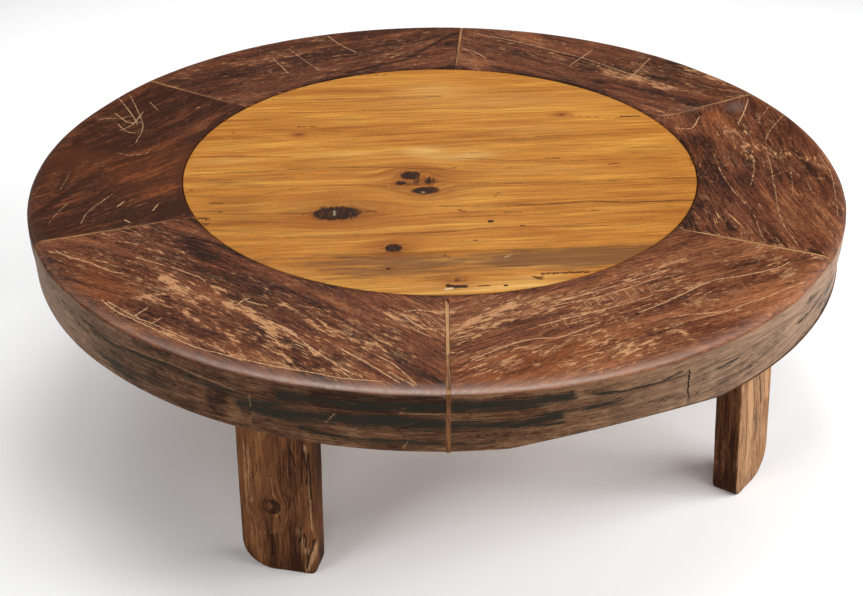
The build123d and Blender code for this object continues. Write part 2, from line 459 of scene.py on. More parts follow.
def buildStrips(material):
    # Light strips let into the joints. The front one also runs down the whole side.
    half = upperFelloes["stripWidth"] / 2 - upperFelloes["stripGap"]
    offsets = np.array([-1, -0.86, -0.5, 0, 0.5, 0.86, 1]) * half
    rows = upperRows(0.003, upperFelloes["stripStop"])
    pieces = []
    for number, (azimuthIn, azimuthOut) in enumerate(upperFelloes["joints"], 1):
        starts, directions = jointLines(np.array([azimuthIn]), np.array([azimuthOut]))
        direction = directions[0]
        normal = np.array([-direction[1], direction[0]])
        starts = starts[0] + normal * offsets[:, None]
        stop = starts + direction * upperFelloes["stripStop"]
        lines = np.repeat(directions, len(offsets), 0)
        grid = sweepRows(
            starts, lines, lambda s, d: stop, outerWall(rim["radius"]), rows,
            flatBottom(rim["layerLine"]), rim["top"],
        )
        grid = rimWear(grid, 0)
        grid[..., 2] -= upperFelloes["stripSunk"]
        piece = sweptPiece(f"jointStrip{number}", grid, material, [f"joint_slip_{number}"])
        if number == 1:
            addStripTail(piece, half)
        pieces.append(piece)
    return pieces


def tailSection(half, depth, bottom, top, inset):
    # The strip's tail as rows of points: up its outer face and down its back.
    outward = onCircle(1.0, upperFelloes["joints"][0][1])
    beside = np.array([-outward[1], outward[0]])
    outer = rim["radius"] - rim["lowerInset"] - inset
    heights = np.linspace(bottom, top, 26)
    rows = [(0.0, z) for z in heights] + [(-depth, z) for z in heights[::-5]]
    return np.array([
        [(*(outward * (outer + inwards) + beside * offset), z) for inwards, z in rows]
        for offset in np.linspace(-half, half, 5)
    ])


def addStripTail(piece, half):
    bottom, top = rim["underside"] + 0.0005, rim["layerLine"] + 0.0004
    grid = tailSection(half, upperFelloes["tailDepth"], bottom, top, 0.0)
    tail = sweptPiece("stripTail", rimWear(grid, 1), piece.data.materials[0], [])
    cutWith(piece, tail, "UNION")


def cutTailSlot(felloe):
    half = upperFelloes["stripWidth"] / 2
    grid = tailSection(half, 0.035, rim["underside"] - 0.01, rim["layerLine"] + 0.01, -0.005)
    cutWith(felloe, hiddenTool("tailTool", grid.reshape(-1, 3), tubeFaces(*grid.shape[:2])))


# Planks: boards, battens, legs and wedges.

def insetOutline(outline, distance):
    # Moves each side of a convex outline inwards.
    outline = np.asarray(outline, float)
    before = outline - np.roll(outline, 1, 0)
    after = np.roll(outline, -1, 0) - outline
    before /= np.linalg.norm(before, axis=1, keepdims=True)
    after /= np.linalg.norm(after, axis=1, keepdims=True)
    first = np.stack([-before[:, 1], before[:, 0]], -1)
    second = np.stack([-after[:, 1], after[:, 0]], -1)
    half = first + second
    return outline + distance * half / np.maximum((half * first).sum(1, keepdims=True), 0.3)


def resample(corners, spacing):
    # Splits the long sides of an outline into equal steps.
    points = []
    for start, end in zip(corners, corners[1:] + corners[:1]):
        start, end = np.array(start, float), np.array(end, float)
        steps = max(1, round(float(np.linalg.norm(end - start)) / spacing))
        points += [start + (end - start) * k / steps for k in range(steps)]
    return np.array(points)


def plankMesh(outline, low, high, arris, spacing, layers=4, farSpacing=None):
    # A closed plank: rings down its sides with rounded edges, and a filled face at each end.
    outline = np.asarray(outline, float)
    count = len(outline)
    turn = [(arris * (1 - math.sin(a)), arris * (1 - math.cos(a))) for a in np.linspace(0, math.pi / 2, 4)]
    rings = [(distance, high - drop) for distance, drop in turn]
    rings += [(0, z) for z in np.linspace(high - arris, low + arris, layers + 1)[1:-1]]
    rings += [(distance, low + rise) for distance, rise in reversed(turn)]
    points = [stacked(insetOutline(outline, inset), np.full(count, z)) for inset, z in rings]
    faces = tubeFaces(len(rings), count, capped=False)
    inside = insetOutline(outline, rings[0][0])
    total = len(rings) * count
    ends = ((high, 0, False, spacing), (low, (len(rings) - 1) * count, True, farSpacing or spacing))
    for height, first, flip, step in ends:
        capPoints, capFaces = triangulate(inside, fillGrid(inside, step))
        extra = capPoints[count:]
        points.append(stacked(extra, np.full(len(extra), height)))
        for face in capFaces:
            corners = [first + i if i < count else total + i - count for i in face]
            faces.append(tuple(reversed(corners)) if flip else tuple(corners))
        total += len(extra)
    return np.concatenate(points), faces


def fillGrid(outline, spacing):
    low, high = outline.min(0), outline.max(0)
    xs = np.arange(low[0] + spacing / 2, high[0], spacing)
    ys = np.arange(low[1] + spacing / 2, high[1], spacing)
    grid = np.stack(np.meshgrid(xs, ys, indexing="ij"), -1)
    grid[1::2, :, 1] += spacing / 2
    grid = grid.reshape(-1, 2)
    edge = np.roll(outline, -1, 0) - outline
    normal = np.stack([-edge[:, 1], edge[:, 0]], -1) / np.linalg.norm(edge, axis=1, keepdims=True)
    away = np.full(len(grid), np.inf)
    for corner, direction in zip(outline, normal):
        away = np.minimum(away, (grid - corner) @ direction)
    return grid[away > 0.55 * spacing]


def triangulate(outline, grid):
    count = len(outline)
    points = [Vector(p) for p in np.concatenate([outline, grid])]
    edges = [(i, (i + 1) % count) for i in range(count)]
    result = geometry.delaunay_2d_cdt(points, edges, [], 1, 1e-7)
    return np.array([tuple(p) for p in result[0]]), [tuple(face) for face in result[2]]


def standing(points):
    # Stands a plank that was drawn flat: its thickness lies along X, and its length along Z.
    return points[:, [2, 0, 1]]


panel = {
    "radius": 0.366,
    "direction": 4.5,
    "gap": 0.0004,
    "seams": [(-0.7, -1.1), (-0.178, -0.5), (0.202, 1.5), (0.68, 2.5)],  # share of the radius, and turn
    "arris": 0.0008,
    "spacing": 0.0018,
    "undersideSpacing": 0.008,
    "pith": (0.05, -0.03, 0.02, -0.06, 0.03),  # where each board's rings centre, across it
    "waves": (0.00022, (0.11, 0.035, 1)),
    "planing": (0.00008, (0.05, 0.004, 1)),
}
battens = {
    "offset": 0.120, "width": 0.060, "thickness": 0.025, "endGap": 0.003, "bevel": 0.012, "arris": 0.0012,
    "spacing": 0.005, "bow": (0.0004, (0.02, 0.16, 0.02)),
}
legs = {
    # Rounds are the radii of a foot's two corners.
    "front_left": dict(
        width=0.101, azimuth=-114.3, inset=0.104, facing=-101.5, splay=3.7, rounds=(0.045, 0.012)
    ),
    "front_right": dict(
        width=0.092, azimuth=-32.7, inset=0.090, facing=-38.5, splay=4.4, rounds=(0.014, 0.045)
    ),
    "rear_right": dict(width=0.096, azimuth=64.5, inset=0.097, facing=70, splay=4, rounds=(0.036, 0.016)),
    "rear_left": dict(width=0.098, azimuth=149.9, inset=0.097, facing=146, splay=4, rounds=(0.016, 0.038)),
}
plankLeg = {
    "thickness": 0.039, "arris": 0.004, "spacing": 0.0022, "outlineSpacing": 0.0055,
    "ripple": (0.0005, (0.03, 0.02, 0.14)), "fineRipple": (0.00025, (0.01, 0.006, 0.05)),
}
tenon = {
    "width": 0.076, "thickness": 0.024, "height": 0.042, "sideGap": 0.0002, "endGap": 0.001,
    "wedgeDepth": 0.030, "wedgeTop": 0.006, "wedgeToe": 0.0015, "wedgeArris": 0.0003, "wedgeSpacing": 0.002,
}
screws = {
    "head": 0.0048, "shank": 0.0024, "point": 0.0006, "pointLength": 0.007,
    "pitch": 0.0022, "threadStart": 0.38,  # the thread starts at this share of the length
    "slotDepth": 0.0013, "slotHalf": 0.0006, "sides": 16, "woodOver": 0.008, "inset": 0.022,
}


def turned(points, degrees):
    angle = math.radians(degrees)
    turn = np.array([[math.cos(angle), math.sin(angle)], [-math.sin(angle), math.cos(angle)]])
    result = np.array(points, float)
    result[:, :2] = result[:, :2] @ turn
    return result


def panelToTable(points):
    result = turned(points, panel["direction"])
    result[:, :2] += rim["openingCentre"]
    return result


def seamAt(seam, x):
    return seam[0] * panel["radius"] + x * math.tan(math.radians(seam[1]))


def seamEnds(seam):
    # Where a seam between two boards meets the panel's circle.
    slope, height = math.tan(math.radians(seam[1])), seam[0] * panel["radius"]
    a, b, c = 1 + slope**2, 2 * slope * height, height**2 - panel["radius"] ** 2
    root = math.sqrt(b * b - 4 * a * c)
    return (-b - root) / (2 * a), (-b + root) / (2 * a)


def boardOutline(low, high):
    # Runs anticlockwise: along the low seam, up the arc, back along the high seam, down the arc.
    # No points lie close to a corner, so that the outline can be moved inwards.
    radius, gap, step = panel["radius"], panel["gap"] / 2, panel["spacing"]

    def ends(seam, sign):
        return [(x, seamAt(seam, x) + sign * gap) for x in seamEnds(seam)]

    def arc(start, stop):
        first, last = math.atan2(start[1], start[0]), math.atan2(stop[1], stop[0])
        if last < first:
            last += 2 * math.pi
        steps = max(2, int(radius * (last - first) / step))
        angles = np.linspace(first, last, steps + 1)[2:-2]
        return [(radius * math.cos(a), radius * math.sin(a)) for a in angles]

    def line(start, stop):
        steps = max(2, int(abs(stop[0] - start[0]) / step))
        return [(start[0] + (stop[0] - start[0]) * k / steps, start[1] + (stop[1] - start[1]) * k / steps)
                for k in (0, *range(2, steps - 1), steps)]

    if low is not None:
        lowStart, lowEnd = ends(low, 1)
    if high is not None:
        highStart, highEnd = ends(high, -1)
    if low is None:
        return np.array(arc(highStart, highEnd) + line(highEnd, highStart))
    if high is None:
        return np.array(line(lowStart, lowEnd) + arc(lowEnd, lowStart))
    return np.array(line(lowStart, lowEnd) + arc(lowEnd, highEnd) + line(highEnd, highStart)
                    + arc(highStart, lowStart))


def buildBoards(material):
    seams = [None] + panel["seams"] + [None]
    pieces = []
    for number, (low, high) in enumerate(zip(seams, seams[1:]), 1):
        points, faces = plankMesh(
            boardOutline(low, high), rim["layerLine"], rim["panelTop"], panel["arris"], panel["spacing"],
            farSpacing=panel["undersideSpacing"],
        )
        top = points[:, 2] > rim["panelTop"] - 0.004
        local = points * (1, 1, 0) + (0, 0, number * 0.37)
        wear = hollows(local, panel["waves"], 41) + hollows(local, panel["planing"], 47)
        points[:, 2] -= np.where(top, wear, 0)
        name, node = f"panelBoard{number}", f"panel_board_{number}"
        pieces.append(makePiece(name, panelToTable(points), faces, material, [node]))
    return pieces


def battenHalf():
    # Half a batten's length: its outer corners stay clear of the ledge.
    outer = battens["offset"] + battens["width"] / 2
    return math.sqrt(rim["ledge"] ** 2 - outer**2) - battens["endGap"]


def buildBattens(material):
    half, wide = battenHalf(), battens["width"] / 2
    top, bottom, bevel = rim["layerLine"], rim["layerLine"] - battens["thickness"], battens["bevel"]
    corners = [(-half + bevel, bottom), (half - bevel, bottom), (half, bottom + bevel), (half, top),
               (-half, top), (-half, bottom + bevel)]
    outline = resample(corners, 0.006)
    pieces = []
    for number, side in enumerate((-1, 1), 1):
        points, faces = plankMesh(outline, -wide, wide, battens["arris"], battens["spacing"])
        flat = standing(points) + (side * battens["offset"], 0, 0)
        flat[:, 2] += np.where(flat[:, 2] < top - 0.006, hollows(flat, battens["bow"], 53 + number), 0)
        pieces.append(makePiece(
            f"batten{number}", panelToTable(flat), faces, material, [f"panel_batten_{number}"]
        ))
    return pieces


def legPoints(leg, local):
    # Local axes: x outwards through the wide face, y across it, z up the leg from its shoulder.
    foot = onCircle(rim["radius"] - leg["inset"], leg["azimuth"])
    splay = math.radians(leg["splay"])
    x = local[:, 0] * math.cos(splay) - local[:, 2] * math.sin(splay)
    z = local[:, 0] * math.sin(splay) + local[:, 2] * math.cos(splay)
    result = turned(stacked(x, local[:, 1], z), leg["facing"])
    return result + (foot[0], foot[1], rim["underside"])


def legOutline(leg):
    half, slant = leg["width"] / 2, plankLeg["thickness"] * math.sin(math.radians(leg["splay"]))
    top, bottom = 0.004 + slant, -rim["underside"] - slant
    clockwise, counter = leg["rounds"]
    points = []
    for radius, side, first in ((clockwise, -1, 180), (counter, 1, 270)):
        centre = (side * (half - radius), bottom + radius)
        for angle in np.radians(np.linspace(first, first + 90, 17)):
            points.append((centre[0] + radius * math.cos(angle), centre[1] + radius * math.sin(angle)))
    return resample(points + [(half, top), (-half, top)], plankLeg["outlineSpacing"])


boxFaces = [(0, 2, 3, 1), (4, 5, 7, 6), (0, 1, 5, 4), (2, 6, 7, 3), (0, 4, 6, 2), (1, 3, 7, 5)]
slotFaces = [(0, 3, 2, 1), (4, 5, 6, 7), (0, 1, 5, 4), (1, 2, 6, 5), (2, 3, 7, 6), (3, 0, 4, 7)]


def boxPoints(low, high):
    xs, ys, zs = zip(low, high)
    return np.array([(x, y, z) for z in zs for y in ys for x in xs])


def wedgeProfile(grow):
    # Across the tenon and up it, from the wedge's toe.
    height = tenon["height"]
    top, toe, low = tenon["wedgeTop"] / 2, tenon["wedgeToe"] / 2, height - tenon["wedgeDepth"]
    return [(-toe, low), (toe, low), (top, height + grow), (-top, height + grow)]


def wedgeSlot(grow):
    half = tenon["thickness"] / 2 + grow
    return np.array([(x, y, z) for x in (-half, half) for y, z in wedgeProfile(grow)])


def wedgeMesh():
    half, step = tenon["thickness"] / 2, tenon["wedgeSpacing"]
    points, faces = plankMesh(resample(wedgeProfile(0), step), -half, half, tenon["wedgeArris"], step)
    return standing(points), faces


def hiddenTool(name, points, faces):
    tool = newObject(name, points, faces)
    shape = bmesh.new()
    shape.from_mesh(tool.data)
    bmesh.ops.recalc_face_normals(shape, faces=shape.faces)
    shape.to_mesh(tool.data)
    shape.free()
    return tool


def buildLegs(material, wedgeMaterial):
    pieces = []
    for number, (name, leg) in enumerate(legs.items(), 1):
        half = plankLeg["thickness"] / 2
        points, faces = plankMesh(legOutline(leg), -half, half, plankLeg["arris"], plankLeg["spacing"], 12)
        world = legPoints(leg, wornLeg(standing(points), leg["width"] / 2, number))
        world[:, 2] = np.clip(world[:, 2], 0, rim["underside"])
        piece = makePiece(f"leg{number}", world, faces, material, [f"leg_{name}"])
        low = (-tenon["thickness"] / 2, -tenon["width"] / 2, -0.03)
        corners = boxPoints(low, (-low[0], -low[1], tenon["height"]))
        cutWith(piece, hiddenTool("tenonTool", legPoints(leg, corners), boxFaces), "UNION")
        cutWith(piece, hiddenTool("slotTool", legPoints(leg, wedgeSlot(0.001)), slotFaces))
        wedgeLocal, wedgeFaces = wedgeMesh()
        wedge = makePiece(
            f"tenonWedge{number}", legPoints(leg, wedgeLocal), wedgeFaces, wedgeMaterial,
            [f"tenon_wedge_{number}"],
        )
        pieces += [piece, wedge]
    return pieces


def wornLeg(local, wide, number):
    # Hand-planed faces and worn lower edges: only ever inwards.
    half = plankLeg["thickness"] / 2
    shifted = local + (0, 0, number * 1.7)
    ripple = hollows(shifted, plankLeg["ripple"], 61) + hollows(shifted, plankLeg["fineRipple"], 67)
    result = local.copy()
    result[:, 0] -= np.sign(local[:, 0]) * ripple * smoothStep(np.abs(local[:, 0]), half - 0.006, half)
    result[:, 1] -= np.sign(local[:, 1]) * ripple * 1.5 * smoothStep(np.abs(local[:, 1]), wide - 0.008, wide)
    return result


# Screws, all driven from below.

def screwMesh(length, turnAngle):
    # Head down at z = 0: slotted countersunk head, plain shank, then a helical thread to the point.
    sides, pitch, head, shank = (screws[key] for key in ("sides", "pitch", "head", "shank"))
    threadStart = length * screws["threadStart"]
    angles = np.linspace(0, 2 * math.pi, sides, endpoint=False)
    rings = [(head * s, 0.0) for s in (0.45, 0.9)] + [(head, 0.0003), (head - 0.0002, 0.0006)]
    rings += [(shank + (head - shank) * (1 - s), 0.0006 + (head - shank) * s) for s in (0.5, 1)]
    rings += [(shank, z) for z in np.linspace(0.006, threadStart, 4)]
    points = [(r * math.cos(a), r * math.sin(a), z) for r, z in rings for a in angles]
    steps = int((length - threadStart) / pitch * 4)
    for step in range(1, steps + 1):
        z = threadStart + (length - threadStart) * step / steps
        core = min(shank * 0.72, screws["point"] + (length - z) / screws["pointLength"] * shank * 0.72)
        for a in angles:
            phase = (z / pitch - a / (2 * math.pi)) % 1
            ridge = max(0, 1 - abs(phase - 0.5) * 3.2)
            radius = min(core + ridge * shank * 0.28, shank)
            points.append((radius * math.cos(a), radius * math.sin(a), min(z, length)))
    points = np.array(points)
    slot = (np.abs(points[:, 1]) < screws["slotHalf"] * 1.6) & (points[:, 2] < 0.0001)
    points[slot, 2] += screws["slotDepth"]
    return turned(points, turnAngle), tubeFaces(len(points) // sides, sides, flip=True)


def screwPlaces():
    # Names of the CAD groups, with each screw's place, bottom and length.
    thickRim = rim["top"] - rim["underside"] - screws["woodOver"]
    azimuths = sorted([joint[0] for joint in upperFelloes["joints"]] + lowerFelloes["joints"])
    middles = [(a + b) / 2 for a, b in zip(azimuths, azimuths[1:] + [azimuths[0] + 360])]
    centre = np.array(rim["openingCentre"])
    atRim = [onCircle(rim["opening"] + screws["inset"], middle) + centre for middle in middles]
    toBoards = rim["panelTop"] - rim["underside"] - screws["woodOver"]
    radius = (rim["ledge"] + panel["radius"]) / 2
    edges = boardEdges(0)
    atLedge = []
    for low, high in zip(edges, edges[1:]):
        lift = math.degrees(math.asin((low + high) / 2 / radius))
        for azimuth in (lift, 180 - lift):
            atLedge.append(onCircle(radius, azimuth))
    battenLow = rim["layerLine"] - battens["thickness"]
    half = battenHalf() - battens["bevel"]
    atBatten = []
    for x in (-battens["offset"], battens["offset"]):
        edges = [max(-half, min(half, edge)) for edge in boardEdges(x)]
        atBatten += [(x, (low + high) / 2) for low, high in zip(edges, edges[1:])]
    atLedge, atBatten = [panelToTable(stacked(np.array(p), np.zeros(len(p))))[:, :2]
                         for p in (atLedge, atBatten)]
    return {
        "rim_screws": (np.array(atRim), rim["underside"], thickRim),
        "ledge_screws": (atLedge, rim["underside"], toBoards),
        "batten_screws": (atBatten, battenLow, rim["panelTop"] - battenLow - screws["woodOver"]),
    }


def boardEdges(x):
    chord = math.sqrt(panel["radius"] ** 2 - x**2)
    return [-chord] + [seamAt(seam, x) for seam in panel["seams"]] + [chord]


def buildScrews(material, places):
    pieces = []
    for node, (spots, bottom, length) in places.items():
        points, faces, total = [], [], 0
        for index, spot in enumerate(spots):
            one, oneFaces = screwMesh(length, 37 + index * 73)
            points.append(one + (spot[0], spot[1], bottom + 0.0002))
            faces += [tuple(i + total for i in face) for face in oneFaces]
            total += len(one)
        name = node.split("_")[0] + "Screws"
        pieces.append(makePiece(name, np.concatenate(points), faces, material, [node]))
    return pieces


def boreHoles(pieces, places, nodes):
    # Countersinks and pilot holes, only in the pieces that the screws pass through.
    sides = screws["sides"]
    angles = np.linspace(0, 2 * math.pi, sides, endpoint=False)
    head, shank = screws["head"] + 0.0003, screws["shank"] + 0.0001
    for piece in pieces:
        low, high = worldBox(piece)
        points, faces = [], []
        for node in nodes:
            spots, bottom, length = places[node]
            seat = bottom + 0.0006
            profile = [(head, bottom - 0.01), (head, seat), (shank, seat + head - shank),
                       (shank, bottom + length + 0.0005)]
            for spot in spots:
                if not (low[0] < spot[0] < high[0] and low[1] < spot[1] < high[1]):
                    continue
                faces += tubeFaces(len(profile), sides, first=len(points), flip=True)
                points += [(spot[0] + r * math.cos(a), spot[1] + r * math.sin(a), z)
                           for r, z in profile for a in angles]
        if points:
            cutWith(piece, hiddenTool("boreTool", points, faces))


def worldBox(piece):
    corners = np.array([vertex.co for vertex in piece.data.vertices])
    return corners.min(0), corners.max(0)


def cutMortises(pieces):
    depth = tenon["height"] + tenon["endGap"]
    half = (tenon["thickness"] / 2 + tenon["sideGap"], tenon["width"] / 2 + tenon["sideGap"])
    for leg in legs.values():
        points = legPoints(leg, boxPoints((-half[0], -half[1], -depth), (half[0], half[1], depth)))
        for piece in pieces:
            low, high = worldBox(piece)
            if (points.max(0)[:2] > low[:2]).all() and (points.min(0)[:2] < high[:2]).all():
                cutWith(piece, hiddenTool("mortiseTool", points, boxFaces))


# Painting: values for each vertex, in metres on the plan.

def besideLine(plan, course, margin):
    # Which points lie within a margin of a course, how far from it, and how far beside it, either way.
    course = np.array(course, float)
    near = ((plan > course.min(0) - margin) & (plan < course.max(0) + margin)).all(1)
    close = plan[near]
    nearest, beside = np.full(len(close), 9.0), np.zeros(len(close))
    for start, end in zip(course, course[1:]):
        span, out = end - start, close - start
        away = out - np.clip(out @ span / (span @ span), 0, 1)[:, None] * span
        length = np.hypot(away[:, 0], away[:, 1])
        signed = np.where(span[0] * out[:, 1] > span[1] * out[:, 0], length, -length)
        beside = np.where(length < nearest, signed, beside)
        nearest = np.minimum(nearest, length)
    return near, nearest, beside


def stroke(plan, course, width):
    # A soft line through a few points: 1 on it, fading over its width.
    result = np.zeros(len(plan))
    near, nearest, _ = besideLine(plan, course, 3 * width)
    result[near] = bell(nearest, width)
    return result


def strokes(plan, marks, place):
    # The strongest at each point of several marks: width in millimetres, strength, and points to run through.
    result = np.zeros(len(plan))
    for width, strength, *course in marks:
        result = np.maximum(result, strength * stroke(plan, place(course), width / 1000))
    return result


def curved(course):
    # A smooth curve through a few points.
    course = np.array(course, float)
    if len(course) < 3:
        return course
    ends = np.concatenate([[2 * course[0] - course[1]], course, [2 * course[-1] - course[-2]]])
    result = [course[0]]
    for a, b, c, d in zip(ends, ends[1:], ends[2:], ends[3:]):
        for s in (0.25, 0.5, 0.75, 1.0):
            result.append(b + 0.5 * s * (c - a + s * (2 * a - 5 * b + 4 * c - d + s * (3 * (b - c) + d - a))))
    return np.array(result)


def hairlines(plan, marks, place):
    # For the nearest thin line: how far beside it each point lies, either way, and how strong it is there.
    gap, strength = np.full(len(plan), 0.02), np.zeros(len(plan))
    for width, level, *course in marks:
        near, nearest, beside = besideLine(plan, curved(place(course)), 0.006)
        here = level * np.clip(1.35 - nearest / 0.0045, 0, 1)
        over = here > strength[near]
        gap[near] = np.where(over, beside * 1.4 / width, gap[near])
        strength[near] = np.where(over, here, strength[near])
    return gap, strength


def blob(plan, centre, half, turn=0.0):
    away = turned(stacked(plan - np.array(centre), np.zeros(len(plan))), -turn)
    return np.exp(-((away[:, 0] / half[0]) ** 2 + (away[:, 1] / half[1]) ** 2))


view = {
    # The camera, and the frame that frame points below are counted in, from its upper left corner.
    "place": (0.0, -1.77268, 1.20090),
    "down": 31.198,
    "yaw": -0.2074,
    "roll": -0.0926,
    "lens": 56.4716,
    "sensor": 36.0,
    "frame": (863, 596),
}


def cameraAxes():
    down, yaw, roll = (math.radians(view[key]) for key in ("down", "yaw", "roll"))
    forward = Vector((0, math.cos(down), -math.sin(down)))
    right = Vector((1, 0, 0))
    up = right.cross(forward)
    forward, right = (math.cos(yaw) * forward + math.sin(yaw) * right,
                      math.cos(yaw) * right - math.sin(yaw) * forward)
    right, up = math.cos(roll) * right + math.sin(roll) * up, math.cos(roll) * up - math.sin(roll) * right
    return right, up, forward


def sightLine(x, y):
    right, up, forward = cameraAxes()
    scale = view["sensor"] / view["lens"] / view["frame"][0]
    across, rise = (x - view["frame"][0] / 2) * scale, (view["frame"][1] / 2 - y) * scale
    return Vector(view["place"]), (forward + right * across + up * rise).normalized()


def onTop(framePoints):
    # Carries points of the camera's frame down onto the table top, so that marks can be given in the frame.
    course = []
    for x, y in framePoints:
        start, direction = sightLine(x, y)
        reach = (rim["top"] - start.z) / direction.z
        course.append(tuple((start + direction * reach).to_2d()))
    return course


def onSide(framePoints):
    # The same onto the rim's upright side, as metres along it and height.
    course = []
    for x, y in framePoints:
        start, direction = sightLine(x, y)
        flat = direction.to_2d()
        along = start.to_2d().dot(flat)
        gap = start.to_2d().length_squared - rim["radius"] ** 2
        reach = (-along - math.sqrt(max(along**2 - flat.length_squared * gap, 0))) / flat.length_squared
        spot = start + direction * reach
        course.append((math.atan2(spot.y, spot.x) * rim["radius"], spot.z))
    return course


grainLay = {
    # Felloe number: turn of the grain from the chord in degrees, its bend, and tint, warmth and wear offsets.
    1: (-4, 0.10, 0.60, 0.08, 0.14), 2: (6, 0.25, 0.10, 0.05, 0.02), 3: (0, 0.05, -0.10, -0.10, 0.06),
    4: (0, -0.05, -0.25, -0.05, 0.04), 5: (-38, 0.5, -0.95, 0.45, -0.35), 6: (-5, 0.28, 0.10, 0.15, 0.10),
}
seamWear = [0.1, 0.75, 0.45, 0.2, 0.55, 0.6]  # at each joint
rimKnots = {
    # Felloe number: middle in the frame, half length and half width, strength.
    3: [((599, 82), 0.016, 0.01, 0.8)],
    4: [((452, 44), 0.03, 0.016, 0.6)],
    2: [((732, 228), 0.014, 0.01, 0.8)],
}

# Marks on the top: width in millimetres, strength, and frame points to run through.
tanScars = [
    (10, 1.2, (165, 277), (176, 286), (186, 294), (193, 300)),
    (6, 0.95, (140, 297), (160, 294), (180, 293), (203, 298), (222, 301), (236, 305)),
    (9, 1.5, (229, 304), (240, 308), (252, 314), (262, 321), (272, 327)),
    (6, 1.1, (262, 325), (270, 334), (280, 342), (288, 348)),
    (3.5, 1.0, (134, 297), (150, 295), (162, 300), (176, 305)),
    (4.5, 0.95, (176, 306), (190, 315), (207, 327)), (6, 0.9, (214, 328), (226, 331), (236, 343)),
    (3.5, 0.95, (212, 286), (226, 291), (247, 298)),
    (3.2, 0.9, (273, 326), (285, 333), (298, 345), (310, 358)),
    (4.5, 1.25, (282, 303), (296, 311), (302, 315)),
    (5, 1.15, (301, 315), (310, 322), (321, 330), (336, 332)),
    (4, 1.0, (307, 311), (320, 320), (331, 334), (345, 338), (357, 341)),
    (6, 0.95, (266, 343), (280, 352), (292, 361)), (5, 0.95, (303, 352), (312, 356), (320, 352)),
    (5.5, 0.75, (233, 272), (245, 276), (256, 282), (267, 288)),
    (9, 0.7, (105, 268), (118, 274), (131, 280), (145, 282)), (6, 0.7, (82, 277), (92, 281), (97, 286)),
    (4, 0.75, (50, 252), (60, 251), (70, 257), (91, 263)),
    (26, 0.35, (80, 262), (130, 275), (190, 300), (250, 330), (300, 345)),
    (26, 0.45, (270, 296), (310, 312), (350, 330), (400, 350)),
    (24, 0.4, (700, 300), (740, 288), (780, 275)), (20, 0.45, (470, 372), (540, 352), (600, 340)),
    (10, 0.55, (160, 330), (190, 338), (230, 352), (290, 366), (360, 375)),
    (4.5, 1.0, (434, 311), (444, 312), (453, 313)), (14, 0.62, (395, 315), (420, 322), (437, 330)),
    (13, 0.95, (450, 331), (465, 326), (485, 316), (505, 307), (521, 302), (545, 300), (570, 297)),
    (9, 0.75, (452, 342), (475, 333), (500, 322), (525, 314), (552, 309)),
    (11, 0.7, (520, 303), (560, 298), (600, 289), (650, 272), (680, 258)),
    (30, 0.3, (560, 315), (600, 300), (650, 290), (690, 285)),
    (4.5, 0.95, (668, 331), (680, 330), (690, 337)),
    (12, 0.6, (560, 364), (590, 360), (620, 352), (650, 345)),
    (7, 0.75, (744, 132), (744, 150), (752, 160)),
    (18, 0.62, (728, 132), (744, 144), (770, 152), (810, 158)),
    (15, 0.62, (707, 222), (722, 216), (738, 232)), (14, 0.8, (612, 74), (640, 80), (668, 88)),
    (11, 0.75, (686, 68), (705, 73), (726, 82)), (18, 0.6, (105, 118), (120, 118), (140, 130)),
    (20, 0.45, (230, 62), (260, 62), (300, 52)), (10, 0.6, (760, 245), (790, 248), (822, 255)),
    (6, 0.7, (765, 312), (790, 300), (815, 288)),
]
